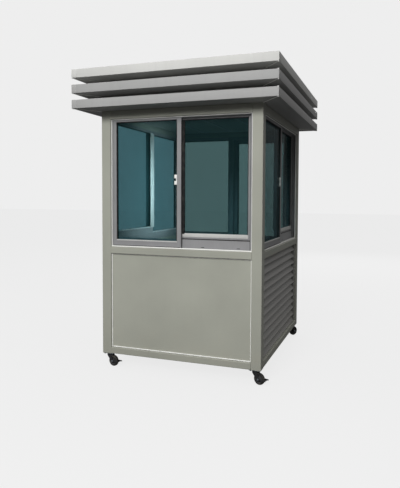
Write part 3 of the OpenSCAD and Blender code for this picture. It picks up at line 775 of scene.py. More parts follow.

# %% [markdown]
# The windows are ordinary sliding windows, cut from drawn aluminium bars. The two upright bars of a
# sash run its full height and the rails are notched between them, so the joints are straight butts.
# Black rubber holds the pane on both faces and a brighter bead lies along its foot. A dark strip below
# each sash is painted shade: it stands for the shadow in the gap between the sash and its track. On the
# inner sash the bead covers the foot down to the track, and a dark rubber strip beside the meeting stile
# is painted shade too, for the shadow that the outer stile throws on the inner sash. The side windows
# have a pale strip on the room side of that stile, which is painted light for the stile where light falls
# on it. The sashes and the gaskets come from the frame's boxes, and the same loop fills the front, left
# and right wall.

# %% Sliding sashes and their gaskets
SASH_STILE, SASH_FOOT, SASH_TOP, BACK_BAR = 38 * MM, 56 * MM, 22 * MM, 30 * MM
BUTT = 0.6 * MM
GASKET_W, GASKET_SUNK = 7 * MM, 3.5 * MM
BEAD_UP, BEAD_SUNK, BEAD_DROP, BEAD_ROUND = 9 * MM, 1.5 * MM, 24 * MM, 1.5 * MM
SHADE_STRIP_UP, SHADE_STRIP_OUT, SHADE_STRIP_END, TRACK_NOSE = 13 * MM, 1 * MM, 10 * MM, 6 * MM
INTERLOCK_SHADE_W, INTERLOCK_SHADE_LAP, INTERLOCK_SHADE_OUT = 20 * MM, 4 * MM, 2 * MM
LIT_STILE_STRIP_SIDE, LIT_STILE_STRIP_T = 24 * MM, 4 * MM
SLIDING = ("front", "left", "right")


def glazing(bm, pane, opening_low, opening_high):
    """Rubber on both faces of a pane, inside the opening of its frame."""
    for y0, y1 in ((opening_low.y + GASKET_SUNK, pane[0].y), (pane[1].y, opening_high.y - GASKET_SUNK)):
        ring(bm, (opening_low.x, y0, opening_low.z), (opening_high.x, y1, opening_high.z), GASKET_W)


def glazed_frame(bars, rubber, low, high, side_w, foot_h, top_h, pane):
    """Two upright bars, two rails between them, and the rubber round the pane."""
    inner_low = Vector((low.x + side_w, low.y, low.z + foot_h))
    inner_high = Vector((high.x - side_w, high.y, high.z - top_h))
    for x0, x1 in ((low.x, inner_low.x), (inner_high.x, high.x)):
        drawn(bars, (x0, low.y, low.z), (x1, high.y, high.z))
    for z0, z1 in ((low.z, inner_low.z), (inner_high.z, high.z)):
        drawn(bars, (inner_low.x, low.y + BUTT, z0), (inner_high.x, high.y - BUTT, z1))
    glazing(rubber, pane, inner_low, inner_high)


for side in SLIDING:
    here = wall(side)
    bars, rubber, low_beads = bmesh.new(), bmesh.new(), bmesh.new()
    for (low, high), pane in zip(solids(side + "_sashes", here), solids(side + "_glass", here)):
        glazed_frame(bars, rubber, low, high, SASH_STILE, SASH_FOOT, SASH_TOP, pane)
        left, right, bead_y = low.x + SASH_STILE, high.x - SASH_STILE, low.y + BEAD_SUNK
        foot, top = low.z + SASH_FOOT, high.z - SASH_TOP
        for y0, y1 in ((bead_y, pane[0].y), (pane[1].y, high.y - BEAD_SUNK)):
            bar(low_beads, (left, y0, foot - MM), (right, y1, foot + BEAD_UP), BEAD_ROUND)
        # A dark rubber strip under each sash: painted shade for the shadowed gap between sash and track.
        shade_strip_top = low.z + SHADE_STRIP_UP
        if high.x > SASH_STILE:  # the inner sash, at the right
            shade_strip_top += TRACK_NOSE
            bar(low_beads, (left, low.y - MM, foot - BEAD_DROP), (right, bead_y + MM, foot + BEAD_UP), MM)
            # A dark rubber strip beside the meeting stile: painted shade for the shadow the outer stile
            # throws on the inner sash.
            bar(rubber, (left - INTERLOCK_SHADE_LAP, low.y - INTERLOCK_SHADE_OUT, foot),
                (left + INTERLOCK_SHADE_W, pane[0].y, top), BEAD_ROUND)
            # A pale strip on the room side of the meeting stile: painted light for the stile where light
            # falls on it.
            if side != "front":
                bar(low_beads, (low.x - LIT_STILE_STRIP_SIDE, high.y - MM, foot),
                    (left + LIT_STILE_STRIP_SIDE, high.y + LIT_STILE_STRIP_T, top), BEAD_ROUND)
        bar(rubber, (low.x + SHADE_STRIP_END, low.y - SHADE_STRIP_OUT, low.z),
            (high.x - SHADE_STRIP_END, low.y + 2 * SHADE_STRIP_OUT, shade_strip_top), EASED)
    settle(bars, side + "_sash_bars", "cabin", window_alloy, here, (side + "_sashes",))
    settle(low_beads, side + "_glazing_beads", "cabin", cover_alloy, here)
    settle(rubber, side + "_gaskets", "cabin", gasket_rubber, here)

here = wall("back")
bars, rubber = bmesh.new(), bmesh.new()
(low, high), = solids("back_window_frame", here)
glazed_frame(bars, rubber, low, high, BACK_BAR, BACK_BAR, BACK_BAR, solids("back_glass", here)[0])
settle(bars, "back_window_bars", "cabin", window_alloy, here, ("back_window_frame",))
settle(rubber, "back_gaskets", "cabin", gasket_rubber, here)
print("Six sliding sashes and one fixed window are glazed")

# %% [markdown]
# Each window frame is one ring of drawn bars with two channels. Its shape is right in the CAD, so a copy
# gets rounded edges. Track ribs stand where a roller would run, and brushes line the jambs against
# draughts. Drain slots in the raised track let rain out; each is a thin dark patch, painted shade for
# the slot's opening.

# %% Window frames, tracks and brushes
RIB_W, RIB_H, RIB_SHARES = 2.5 * MM, 6 * MM, (0.35, 0.65)
BRUSH_W, BRUSH_T, BRUSH_EDGE, BRUSH_FOOT, BRUSH_HEAD = 5 * MM, 3 * MM, 4 * MM, 8 * MM, 20 * MM
SLOT_W, SLOT_H, SLOT_UP, SLOT_SUNK, SLOT_SHARES = 28 * MM, 5 * MM, 14 * MM, 0.8 * MM, (0.3, 0.8)
FRAME_JAMB, INNER_TRACK, TRACK_FLOOR, TRACK_FACE = 18 * MM, 74 * MM, 3 * MM, 3 * MM
for side in SLIDING:
    here = wall(side)
    frame_node = side + "_window_frame"
    softened(frame_node, frame_node + "_bars", "cabin", window_alloy, EASED)
    (frame_low, frame_high), = solids(frame_node, here)
    (outer_low, outer_high), (inner_low, inner_high) = solids(side + "_sashes", here)
    ribs, brushes, slot_shadows = bmesh.new(), bmesh.new(), bmesh.new()
    jamb_low, jamb_high = frame_low.x + FRAME_JAMB, frame_high.x - FRAME_JAMB
    track_z, inner_track_z = frame_low.z + TRACK_FLOOR, frame_low.z + INNER_TRACK
    for share in RIB_SHARES:
        y = outer_low.y + (outer_high.y - outer_low.y) * share
        bar(ribs, (outer_high.x + MM, y - RIB_W / 2, track_z - MM),
            (jamb_high, y + RIB_W / 2, track_z + RIB_H), 0.5 * MM)
        y += inner_low.y - outer_low.y
        bar(ribs, (jamb_low, y - RIB_W / 2, inner_track_z - MM),
            (inner_low.x - MM, y + RIB_W / 2, inner_track_z + RIB_H), 0.5 * MM)
    for x0, x1, low, high in ((jamb_high - BRUSH_W, jamb_high, outer_low, outer_high),
                              (jamb_low, jamb_low + BRUSH_W, inner_low, inner_high)):
        for y in (low.y + BRUSH_EDGE, high.y - BRUSH_EDGE - BRUSH_T):
            bar(brushes, (x0, y, low.z + BRUSH_FOOT), (x1, y + BRUSH_T, high.z - BRUSH_HEAD), EASED)
    # Dark patches on the track face: painted shade for the openings of the drain slots.
    face_y, slot_z = outer_high.y + TRACK_FACE, track_z + SLOT_UP
    for share in SLOT_SHARES:
        x = outer_high.x + (frame_high.x - outer_high.x) * share
        bar(slot_shadows, (x - SLOT_W / 2, face_y - SLOT_SUNK, slot_z),
            (x + SLOT_W / 2, face_y + MM, slot_z + SLOT_H), 0.6 * MM)
    settle(ribs, side + "_track_ribs", "cabin", cover_alloy, here)
    settle(brushes, side + "_brush_strips", "cabin", gasket_rubber, here)
    settle(slot_shadows, side + "_drain_slot_shadows", "cabin", gasket_rubber, here)
print("Frames have ribs, brushes and drain slots")

# %% [markdown]
# A crescent catch locks each pair of sashes. Its plate is screwed to the inner meeting stile, and a
# half-round cam on a boss swings over to the other sash. A disc cut along its middle gives the cam, and
# a thumb lever stands out of the boss. The outer sash has a small white finger pull in front of its
# glass, beside the meeting stile.

# %% Crescent catches
PLATE_W, PLATE_T, PLATE_HOLES, LATCH_REACH, LATCH_DEPTH = 26 * MM, 4 * MM, 0.40, 60 * MM, 120 * MM
BOSS_R, BOSS_T, CAM_R, CAM_T, CAM_SHIFT, CAM_CUT = 11 * MM, 8 * MM, 28 * MM, 5 * MM, 2 * MM, (1, 0, 0.25)
THUMB_W, THUMB_L, LATCH_SCREW = 10 * MM, 30 * MM, (3.4 * MM, 1.2 * MM)
PULL_W, PULL_H, PULL_OUT, PULL_NOTCH, PULL_NECK = 24 * MM, 86 * MM, 3 * MM, 22 * MM, 9 * MM
for side in SLIDING:
    here = wall(side)
    boxes = [box for box in solids("window_latches", here)
             if abs(box[0].x) < LATCH_REACH and 0 < box[0].y < LATCH_DEPTH]
    low, high = span(boxes)
    right, mid_z, face_y = high.x, (low.z + high.z) / 2, low.y + PLATE_T
    catch, cam = bmesh.new(), bmesh.new()
    bar(catch, (right - PLATE_W, low.y, low.z), (right, face_y, high.z), 1.6 * MM, 3)
    centre = Vector((right - PLATE_W / 2, face_y, mid_z))
    rod(catch, centre - Vector((0, MM, 0)), centre + Vector((0, BOSS_T, 0)), BOSS_R, 24, 1.2 * MM)
    middle = centre + Vector((-CAM_SHIFT, MM, 0))
    rod(cam, middle, middle + Vector((0, CAM_T, 0)), CAM_R, 36)
    bmesh.ops.bisect_plane(cam, geom=cam.verts[:] + cam.edges[:] + cam.faces[:], dist=1e-6,
                           plane_co=middle, plane_no=CAM_CUT, clear_outer=True)
    bmesh.ops.holes_fill(cam, edges=[e for e in cam.edges if e.is_boundary])
    round_edges(cam, sharp(cam.edges), MM)
    add(catch, cam, Matrix())
    bar(catch, centre + Vector((-THUMB_W / 2, 2 * MM, -THUMB_L)), centre + Vector((THUMB_W / 2, BOSS_T, 0)),
        1.8 * MM, 3)
    for dz in (-PLATE_HOLES, PLATE_HOLES):
        screw(catch, (centre.x, face_y, mid_z + dz * (high.z - low.z)), (0, 1, 0), LATCH_SCREW)
    outer_low, outer_high = solids(side + "_sashes", here)[0]
    pull_x, front = outer_high.x - SASH_STILE, outer_low.y - PULL_OUT
    rear = solids(side + "_glass", here)[0][0].y
    for z0, z1 in ((-PULL_H / 2, -PULL_NOTCH / 2), (PULL_NOTCH / 2, PULL_H / 2)):
        bar(catch, (pull_x - PULL_W, front, mid_z + z0), (pull_x, rear, mid_z + z1), 3 * MM, 3)
        screw(catch, (pull_x - PULL_W / 2, front, mid_z + (z0 + z1) / 2), (0, -1, 0), LATCH_SCREW)
    bar(catch, (pull_x - PULL_NECK, front + 2 * MM, mid_z - PULL_NOTCH), (pull_x, rear, mid_z + PULL_NOTCH),
        1.5 * MM)
    settle(catch, side + "_crescent_catch", "cabin", latch_plastic, here,
           ("window_latches",) if side == "front" else ())
print("Three crescent catches are in place")

# %% [markdown]
# The panels and frames sit in the openings between posts and rails, and a bead of pale sealant closes
# each joint. Its near-white colour is partly painted highlight: the beads give the thin bright lines
# that outline the panel and the windows, where ledges and rounded edges catch the light. A ring with
# rounded edges makes one, in the corner where the frame meets the reveal, and a thicker bead lies along
# its foot, where the water runs; it is a painted highlight for the lit ledge there.

# %% Sealant beads and painted highlights
SEALANT_D, SEALANT_ROUND, FOOT_HIGHLIGHT_BEAD = 8 * MM, 2.2 * MM, 11 * MM
JOINTS = (("front", "front_panel", 7 * MM), ("back", "back_panel", 7 * MM),
          ("front", "front_window_frame", 6 * MM), ("left", "left_window_frame", 7 * MM),
          ("right", "right_window_frame", 7 * MM), ("back", "back_window_frame", 7 * MM))
joints = bmesh.new()
for side, node, width in JOINTS:
    part = bmesh.new()
    (low, high), = solids(node, wall(side))
    face = Vector((low.x, low.y - SEALANT_D, low.z))
    ring(part, face, (high.x, low.y + MM, high.z), width, SEALANT_ROUND)
    # The thicker foot bead is a painted highlight for the lit ledge at the foot of each opening.
    bar(part, face, (high.x, low.y + MM, low.z + FOOT_HIGHLIGHT_BEAD), 3 * MM, 3)
    add(joints, part, wall(side))
settle(joints, "sealant_highlight_beads", "cabin", sealant_and_highlight)
print(len(JOINTS), "openings are sealed")

# %% [markdown]
# A weather louvre keeps rain out and lets air in under the side windows. Every blade is a strip of sheet
# with a small upright drip edge in front, a slope that rises inwards, and a lip at the back. The strip
# is one row of faces whose bends are bevelled and which a Solidify modifier thickens. Twelve blades
# stand one pitch apart between two side rails.

# %% Louvres
BLADES, BLADE_SHEET, BLADE_BEND = 12, 1.6 * MM, 2.5 * MM
DRIP_Z, DRIP_H, BLADE_RISE, BLADE_LIP, BLADE_BACK = 2 * MM, 7 * MM, 0.80, 7 * MM, 38 * MM
RAIL_W, RAIL_LIP, RAIL_SCREW = 22 * MM, 4 * MM, (3.2 * MM, 1 * MM)
for side in ("left", "right"):
    here, node = wall(side), side + "_louvre"
    low, high = span(solids(node, here))
    pitch = (high.z - low.z) / BLADES
    face_y = low.y + RAIL_LIP
    x0, x1 = low.x + RAIL_W, high.x - RAIL_W
    profile = [(0, DRIP_Z), (0, DRIP_Z + DRIP_H), (BLADE_BACK, pitch * BLADE_RISE),
               (BLADE_BACK, pitch * BLADE_RISE + BLADE_LIP)]
    blades = bmesh.new()
    for i in range(BLADES):
        foot = low.z + i * pitch
        start, end = [[blades.verts.new((x, face_y + y, foot + z)) for y, z in profile] for x in (x0, x1)]
        faces = [blades.faces.new((start[k], end[k], end[k + 1], start[k + 1])) for k in range(3)]
        bends = {e for f in faces for e in f.edges if len(e.link_faces) == 2}
        round_edges(blades, bends, BLADE_BEND)
    piece = settle(blades, side + "_louvre_blades", "cabin", louvre_paint, here, (node,),
                   crease=40, outwards=False)
    sheet = piece.modifiers.new("sheet", "SOLIDIFY")
    sheet.thickness, sheet.offset = BLADE_SHEET, -1
    rails, screws = bmesh.new(), bmesh.new()
    for a, b in ((low.x, x0), (x1, high.x)):
        bar(rails, (a, low.y, low.z), (b, high.y, high.z), 1.2 * MM)
        for i in range(0, BLADES, 2):
            screw(screws, ((a + b) / 2, low.y, low.z + (i + 0.5) * pitch), (0, -1, 0), RAIL_SCREW)
    settle(rails, side + "_louvre_rails", "cabin", louvre_paint, here)
    settle(screws, side + "_louvre_screws", "cabin", zinc, here)
print("Two louvres have", BLADES, "blades each")

# %% [markdown]
# The door leaf is glazed like a window, with stouter bars, a middle rail at sill height and a painted
# panel in its lower half. Its bars, gaskets and handles ride on the door's own body, so they swing with
# the glass. It closes against a rubber seal in the door frame, which stays on the cabin, and a screwed
# threshold covers the edge of the floor.

# %% Door leaf
DOOR_STILE, DOOR_FOOT = 44 * MM, 90 * MM
here = wall("back")
(leaf_low, leaf_high), = solids("door_leaf", here)
door_panel, door_pane = solids("door_panel", here)[0], solids("door_glass", here)[0]
leaf, rubber = bmesh.new(), bmesh.new()
left, right = leaf_low.x + DOOR_STILE, leaf_high.x - DOOR_STILE
for x0, x1 in ((leaf_low.x, left), (right, leaf_high.x)):
    drawn(leaf, (x0, leaf_low.y, leaf_low.z), (x1, leaf_high.y, leaf_high.z))
levels = ((leaf_low.z, leaf_low.z + DOOR_FOOT), (sill_rail_z, sill_z),
          (leaf_high.z - DOOR_STILE, leaf_high.z))
for z0, z1 in levels:
    drawn(leaf, (left, leaf_low.y + BUTT, z0), (right, leaf_high.y - BUTT, z1))
for box, z0, z1 in ((door_panel, levels[0][1], levels[1][0]), (door_pane, levels[1][1], levels[2][0])):
    glazing(rubber, box, Vector((left, leaf_low.y, z0)), Vector((right, leaf_high.y, z1)))
settle(leaf, "door_leaf_bars", "door", window_alloy, here, ("door_leaf",))
settle(rubber, "door_gaskets", "door", gasket_rubber, here)

SEAL_W, SEAL_T, LEAF_GAP, STOP_HEAD, STOP_W = 10 * MM, 3.5 * MM, 5 * MM, 20 * MM, 13 * MM
THRESHOLD_Y, THRESHOLD_T = (24 * MM, 86 * MM), 3 * MM
THRESHOLD_SCREW, THRESHOLD_SCREWS, SCREW_EDGE = (3.6 * MM, 0.8 * MM), 4, 60 * MM
softened("door_frame", "door_frame_bars", "cabin", window_alloy, EASED)
(frame_low, frame_high), = solids("door_frame", here)
seal, threshold, screws = bmesh.new(), bmesh.new(), bmesh.new()
stop_x0, stop_x1 = leaf_low.x - LEAF_GAP + MM, -MM
stop_y, stop_z = leaf_high.y + LEAF_GAP, frame_high.z - STOP_HEAD - MM
seal_z = floor_z + 2 * MM
for x0, x1, z in ((stop_x0, stop_x0 + SEAL_W, seal_z), (stop_x1 - SEAL_W, stop_x1, seal_z),
                  (stop_x0 + SEAL_W - MM, stop_x1 - SEAL_W + MM, stop_z - SEAL_W + MM)):
    bar(seal, (x0, stop_y - SEAL_T, z), (x1, stop_y + 0.5 * MM, stop_z), MM)
plate_z = floor_z + THRESHOLD_T
plate_x0, plate_x1 = leaf_low.x - LEAF_GAP + STOP_W, -STOP_W
bar(threshold, (plate_x0, THRESHOLD_Y[0], floor_z - MM), (plate_x1, THRESHOLD_Y[1], plate_z), 1.2 * MM)
first, last = plate_x0 - STOP_W + SCREW_EDGE, plate_x1 + STOP_W - SCREW_EDGE
for i in range(THRESHOLD_SCREWS):
    x = first + i * (last - first) / (THRESHOLD_SCREWS - 1)
    screw(screws, (x, sum(THRESHOLD_Y) / 2, plate_z), (0, 0, 1), THRESHOLD_SCREW)
settle(seal, "door_stop_seal", "cabin", gasket_rubber, here)
settle(threshold, "door_threshold", "cabin", cover_alloy, here)
settle(screws, "door_threshold_screws", "cabin", zinc, here)
print("The door leaf has", len(levels), "rails")

# %% [markdown]
# A lever handle stands on a long plate on each face of the lock stile, with a profile cylinder below it.
# Its keyhole is a thin dark plate on the cylinder's face, painted shade for the hole. The lever is bent
# from round bar: a disc is pushed out, spun through a quarter turn and drawn out along the door. Its end
# is rounded by a bevel.

# %% Door handles
SHIELD_W, SHIELD_H, SHIELD_T = 30 * MM, 170 * MM, 4 * MM
NECK_R, NECK_L, ELBOW_R, LEVER_L = 8 * MM, 26 * MM, 12 * MM, 96 * MM
ROSE_R, ROSE_T, SHIELD_HOLES = 12.5 * MM, 7 * MM, 12 * MM
CYLINDER_R, CYLINDER_DROP, CYLINDER_L, CYLINDER_W = 8.5 * MM, 55 * MM, 22 * MM, 9 * MM
KEY_W, KEY_H, SHIELD_SCREW = 2 * MM, 10 * MM, (3.6 * MM, 1.2 * MM)


def pushed_out(bm, face, along):
    """Extrudes a face along a vector and returns its new end."""
    new = bmesh.ops.extrude_face_region(bm, geom=[face])["geom"]
    bmesh.ops.translate(bm, verts=[g for g in new if isinstance(g, bmesh.types.BMVert)], vec=along)
    return next(g for g in new if isinstance(g, bmesh.types.BMFace))


handle, lock, keyhole_shadows = bmesh.new(), bmesh.new(), bmesh.new()
lock_x = leaf_high.x - DOOR_STILE / 2
lever_z = (sill_rail_z + sill_z) / 2
for face_y, out in ((leaf_low.y, -1), (leaf_high.y, 1)):
    part, barrel, keyhole_shadow = bmesh.new(), bmesh.new(), bmesh.new()
    bar(part, (-SHIELD_W / 2, 0, -SHIELD_H / 2), (SHIELD_W / 2, SHIELD_T, SHIELD_H / 2), 1.6 * MM, 3)
    rod(part, (0, SHIELD_T - MM, 0), (0, SHIELD_T + ROSE_T, 0), ROSE_R, 32, 1.5 * MM)
    start = Matrix.Translation((0, SHIELD_T, 0)) @ Matrix.Rotation(math.radians(-90), 4, "X")
    disc = bmesh.ops.create_circle(part, cap_ends=True, segments=20, radius=NECK_R, matrix=start)["verts"]
    tip = pushed_out(part, disc[0].link_faces[0], (0, NECK_L, 0))
    turned = bmesh.ops.spin(part, geom=[tip, *tip.edges, *tip.verts], cent=(-ELBOW_R, SHIELD_T + NECK_L, 0),
                            axis=(0, 0, 1), angle=math.radians(90), steps=8)["geom_last"]
    tip = pushed_out(part, next(g for g in turned if isinstance(g, bmesh.types.BMFace)), (-LEVER_L, 0, 0))
    round_edges(part, tip.edges, 3 * MM, 3)
    for dz in (SHIELD_HOLES - SHIELD_H / 2, SHIELD_H / 2 - SHIELD_HOLES):
        screw(part, (0, SHIELD_T, dz), (0, 1, 0), SHIELD_SCREW)
    drop, back = -CYLINDER_DROP, SHIELD_T - MM
    rod(barrel, (0, back, drop), (0, SHIELD_T + 3 * MM, drop), CYLINDER_R, 24, 0.6 * MM)
    bar(barrel, (-CYLINDER_W / 2, back, drop - CYLINDER_L),
        (CYLINDER_W / 2, SHIELD_T + 2.6 * MM, drop), EASED)
    # The keyhole: a thin dark plate, painted shade for the hole in the cylinder.
    bar(keyhole_shadow, (-KEY_W / 2, SHIELD_T + 2.8 * MM, drop - KEY_H / 2),
        (KEY_W / 2, SHIELD_T + 3.2 * MM, drop + KEY_H / 2), 0.15 * MM)
    place = Matrix.Translation((lock_x, face_y, lever_z)) @ Matrix.Diagonal((1, out, 1, 1))
    for target, source in ((handle, part), (lock, barrel), (keyhole_shadows, keyhole_shadow)):
        add(target, source, place)
settle(handle, "door_lever_handles", "door", handle_steel, here, ("door_handle",))
settle(lock, "door_lock_cylinders", "door", cover_alloy, here)
settle(keyhole_shadows, "door_keyhole_shadows", "door", gasket_rubber, here)
print("Levers reach", round((ELBOW_R + LEVER_L) / MM), "mm along the door")

# %% [markdown]
# The butt hinges keep their CAD shape, since the knuckles have to turn, and copies with rounded edges
# stand in for them. Screws hold both plates, and a small turned cap closes each end of every pin.

# %% Hinges
PLATE_MIN_H, PIN_R, PLATE_FACE, HINGE_HOLES = 80 * MM, 7 * MM, 19.5 * MM, (0.2, 0.5, 0.8)
FRAME_SCREW, LEAF_SCREW = (2.6 * MM, 0.8 * MM), (3 * MM, 0.8 * MM)
FIXED_HOLE, MOVING_HOLES, CAP_R, CAP_H = 5 * MM, (15 * MM, 31 * MM), 6.5 * MM, 3 * MM
softened("door_hinge_pins", "door_hinge_fixed_halves", "cabin", hinge_steel, 0.5 * MM)
softened("door_knuckles", "door_hinge_moving_halves", "door", hinge_steel, 0.5 * MM)
fixed_screws, moving_screws, caps = bmesh.new(), bmesh.new(), bmesh.new()
for low, high in solids("door_hinge_pins", here):
    if high.z - low.z < PLATE_MIN_H:
        continue
    pin_x, pin_y = high.x - PIN_R, low.y + PIN_R
    for share in HINGE_HOLES:
        z = low.z + (high.z - low.z) * share
        screw(fixed_screws, (low.x + FIXED_HOLE, PLATE_FACE, z), (0, -1, 0), FRAME_SCREW)
        for dx in MOVING_HOLES:
            screw(moving_screws, (pin_x + dx, PLATE_FACE, z), (0, -1, 0), LEAF_SCREW)
    for z, up in ((low.z, -1), (high.z, 1)):
        rod(caps, (pin_x, pin_y, z - up * MM), (pin_x, pin_y, z + up * CAP_H), CAP_R, 20, 1.4 * MM)
settle(fixed_screws, "hinge_frame_screws", "cabin", zinc, here)
settle(moving_screws, "hinge_leaf_screws", "door", zinc, here)
settle(caps, "hinge_pin_caps", "cabin", hinge_steel, here)
print("Three hinges are screwed on")

# %% [markdown]
# The castors are the usual swivel castors of a rolling cabin. A pressed fork hangs from a ball race
# under a square plate, and the wheel has a rubber tyre on a ribbed plastic core. Wheels are turned
# things, so their outlines are spun round the axle. An outline is drawn for one half of the width and
# mirrored. The way each castor points follows from the places of its plate and its wheel.

# %% Castor wheels
TYRE = [(36, 13.5), (43.5, 14), (47, 12.4), (49.2, 9), (50, 4.5)]
CORE = [(37, 12.6), (34.5, 12.6), (32.5, 11), (31, 6.5), (16.5, 6.5), (15, 9), (14.2, 18), (13, 19),
        (6.1, 19)]
RIBS, CORE_RIB_T = 6, 3 * MM
CORE_RIB_X, CORE_RIB_Z = (14.5 * MM, 32.5 * MM), (6 * MM, 10.5 * MM)
CORNERS = ("front_left", "front_right", "back_left", "back_right")
plates = {("back" if low.y > 0 else "front") + ("_right" if low.x > 0 else "_left"): (low + high) / 2
          for low, high in solids("castor_plates")}


def castor_place(corner):
    """A place in the middle of a castor's wheel, with X away from the swivel pin and Z along the axle."""
    low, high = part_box("castor_wheel_" + corner)
    middle = (low + high) / 2
    away = middle - plates[corner]
    turn = Matrix.Rotation(math.atan2(away.y, away.x), 4, "Z")
    return Matrix.Translation(middle) @ turn @ Matrix.Rotation(math.radians(90), 4, "X")


def mirrored(half):
    """A closed outline from the points of one half, in millimetres."""
    return [(r * MM, h * MM) for r, h in half] + [(r * MM, -h * MM) for r, h in reversed(half)]


for corner in CORNERS:
    place, body = castor_place(corner), "castor_wheel_" + corner
    tyre, core = bmesh.new(), bmesh.new()
    spun(tyre, mirrored(TYRE), place, 56)
    spun(core, mirrored(CORE), place, 40)
    for i in range(RIBS):
        for up in (-1, 1):
            rib = bmesh.new()
            z0, z1 = sorted(up * z for z in CORE_RIB_Z)
            bar(rib, (CORE_RIB_X[0], -CORE_RIB_T / 2, z0), (CORE_RIB_X[1], CORE_RIB_T / 2, z1), EASED)
            add(core, rib, place @ Matrix.Rotation(math.tau * i / RIBS, 4, "Z"))
    settle(tyre, body + "_tyre", body, tyre_rubber, stands_for=(body,))
    settle(core, body + "_core", body, wheel_plastic)
print("Four wheels turn on their axles")

# %% [markdown]
# Forks and plates keep their CAD shape with edges rounded as pressing leaves them. Nuts close the axle
# and the swivel pin, a dust ring seals the ball race, and four bolts fix each plate. The front castors
# have brake pedals with ribs, so that a shoe doesn't slip.

# %% Forks, plates, nuts and bolts
AXLE_HALF, NUT_R, NUT_T = 27.5 * MM, 9 * MM, 4.5 * MM
BOLT_SPREAD, BOLT_R, BOLT_T, WASHER_R, WASHER_T = 38 * MM, 7.5 * MM, 5 * MM, 10 * MM, 1.4 * MM
PLATE_TOP_T, PIN_NUT_OUT = 6 * MM, 3.5 * MM
RACE_R, RACE_DROP, RACE_LIP = 30 * MM, 15 * MM, [(-1.5, -2), (1, -2), (1.8, 0), (1, 2), (-1.5, 2)]
PEDAL_X, PEDAL_TOP, PEDAL_HALF, PEDAL_RIBS = 60 * MM, 5 * MM, 19 * MM, 3
PEDAL_PITCH, PEDAL_RIB_W, PEDAL_RIB_H = 5 * MM, 2.4 * MM, 1.4 * MM
plate_foot, plate_top = (corner.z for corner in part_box("castor_plates"))
softened("castor_plates", "castor_mounting_plates", "cabin", zinc, EASED)
bolts, rings = bmesh.new(), bmesh.new()
for corner in CORNERS:
    place, body = castor_place(corner), "castor_fork_" + corner
    softened(body, body + "_pressing", body, black_steel, EASED)
    nuts = bmesh.new()
    for up in (-1, 1):
        nut = bmesh.new()
        rod(nut, (0, 0, up * (AXLE_HALF - NUT_T + MM)), (0, 0, up * (AXLE_HALF + MM)), NUT_R, 6, EASED)
        add(nuts, nut, place)
    pin = plates[corner]
    rod(nuts, (pin.x, pin.y, plate_foot - PIN_NUT_OUT), (pin.x, pin.y, plate_foot + MM), NUT_R, 6, EASED)
    settle(nuts, body + "_nuts", body, zinc)
    if corner.startswith("front"):
        grip = bmesh.new()
        for i in range(PEDAL_RIBS):
            x = PEDAL_X + i * PEDAL_PITCH
            bar(grip, (x, PEDAL_TOP - 0.4 * MM, -PEDAL_HALF),
                (x + PEDAL_RIB_W, PEDAL_TOP + PEDAL_RIB_H, PEDAL_HALF), 0.6 * MM)
        settle(grip, body + "_pedal_ribs", body, tyre_rubber, place)
    under = plate_top - PLATE_TOP_T
    for dx in (-BOLT_SPREAD, BOLT_SPREAD):
        for dy in (-BOLT_SPREAD, BOLT_SPREAD):
            x, y = pin.x + dx, pin.y + dy
            rod(bolts, (x, y, under - WASHER_T), (x, y, under + MM), WASHER_R, 20, 0.4 * MM)
            rod(bolts, (x, y, under - BOLT_T - MM), (x, y, under - MM), BOLT_R, 6, 0.7 * MM)
    race = Matrix.Translation((pin.x, pin.y, plate_top - RACE_DROP))
    spun(rings, [(RACE_R + r * MM, h * MM) for r, h in RACE_LIP], race, 40)
settle(bolts, "castor_plate_bolts", "cabin", zinc)
settle(rings, "castor_race_rings", "cabin", gasket_rubber)
print("Each plate has four bolts")

# %% [markdown]
# Little of the inside shows, but it can be seen through the windows and through the open door. The
# linings and the ceiling are boards whose joints hide under thin cover strips, a skirting meets the
# floor, and the bearers under the floor get the rounded edges of rolled section.

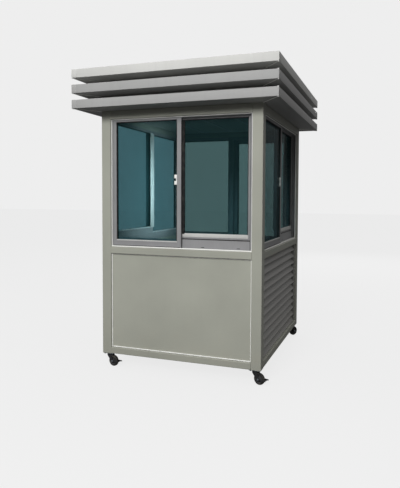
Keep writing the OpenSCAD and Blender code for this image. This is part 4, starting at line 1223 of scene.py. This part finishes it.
# %% Linings, ceiling and underframe
COVER_W, COVER_T, SKIRT_H, SKIRT_T = 28 * MM, 2.5 * MM, 60 * MM, 7 * MM
CEILING_BOARDS, CEILING_PINS, CEILING_SHARE = 4, 5, 0.9
LINING_BOARDS, LINING_PINS, PIN_FOOT, PIN_PITCH = 3, 4, 60 * MM, 220 * MM
BOARD_SCREW = (3.4 * MM, 1 * MM)
covers, skirting, bearers, pins = (bmesh.new() for _ in range(4))
ceiling_low, ceiling_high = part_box("ceiling")
for i in range(1, CEILING_BOARDS):
    x = ceiling_low.x + (ceiling_high.x - ceiling_low.x) * i / CEILING_BOARDS
    bar(covers, (x - COVER_W / 2, ceiling_low.y, ceiling_low.z - COVER_T),
        (x + COVER_W / 2, ceiling_high.y, ceiling_low.z + MM), EASED)
    for k in range(CEILING_PINS):
        y = (ceiling_low.y + (ceiling_high.y - ceiling_low.y) * k / (CEILING_PINS - 1)) * CEILING_SHARE
        screw(pins, (x, y, ceiling_low.z - COVER_T), (0, 0, -1), BOARD_SCREW)
for low, high in solids("side_linings"):
    inner_x, into = (high.x, 1) if low.x < 0 else (low.x, -1)
    x0, x1 = sorted((inner_x - into * MM, inner_x + into * COVER_T))
    for i in range(1, LINING_BOARDS):
        y = low.y + (high.y - low.y) * i / LINING_BOARDS
        bar(covers, (x0, y - COVER_W / 2, low.z + SKIRT_H), (x1, y + COVER_W / 2, high.z), EASED)
        for k in range(LINING_PINS):
            z = low.z + SKIRT_H + PIN_FOOT + k * PIN_PITCH
            screw(pins, (inner_x + into * COVER_T, y, z), (into, 0, 0), BOARD_SCREW)
    x0, x1 = sorted((inner_x - into * MM, inner_x + into * SKIRT_T))
    bar(skirting, (x0, low.y, low.z), (x1, high.y, low.z + SKIRT_H), 2 * MM)
for low, high in solids("floor_bearers"):
    bar(bearers, low, high, 2.5 * MM, 3)
settle(covers, "lining_cover_strips", "cabin", cover_alloy)
settle(pins, "lining_screws", "cabin", zinc)
settle(skirting, "skirting", "cabin", gasket_rubber)
settle(bearers, "underframe_bearers", "cabin", bearer_paint, stands_for=("floor_bearers",))
print(len(made), "pieces stand on the frame")

# %% Size and finish
low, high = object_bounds()
print("The finished booth measures", [round(x, 3) for x in high - low], "m")
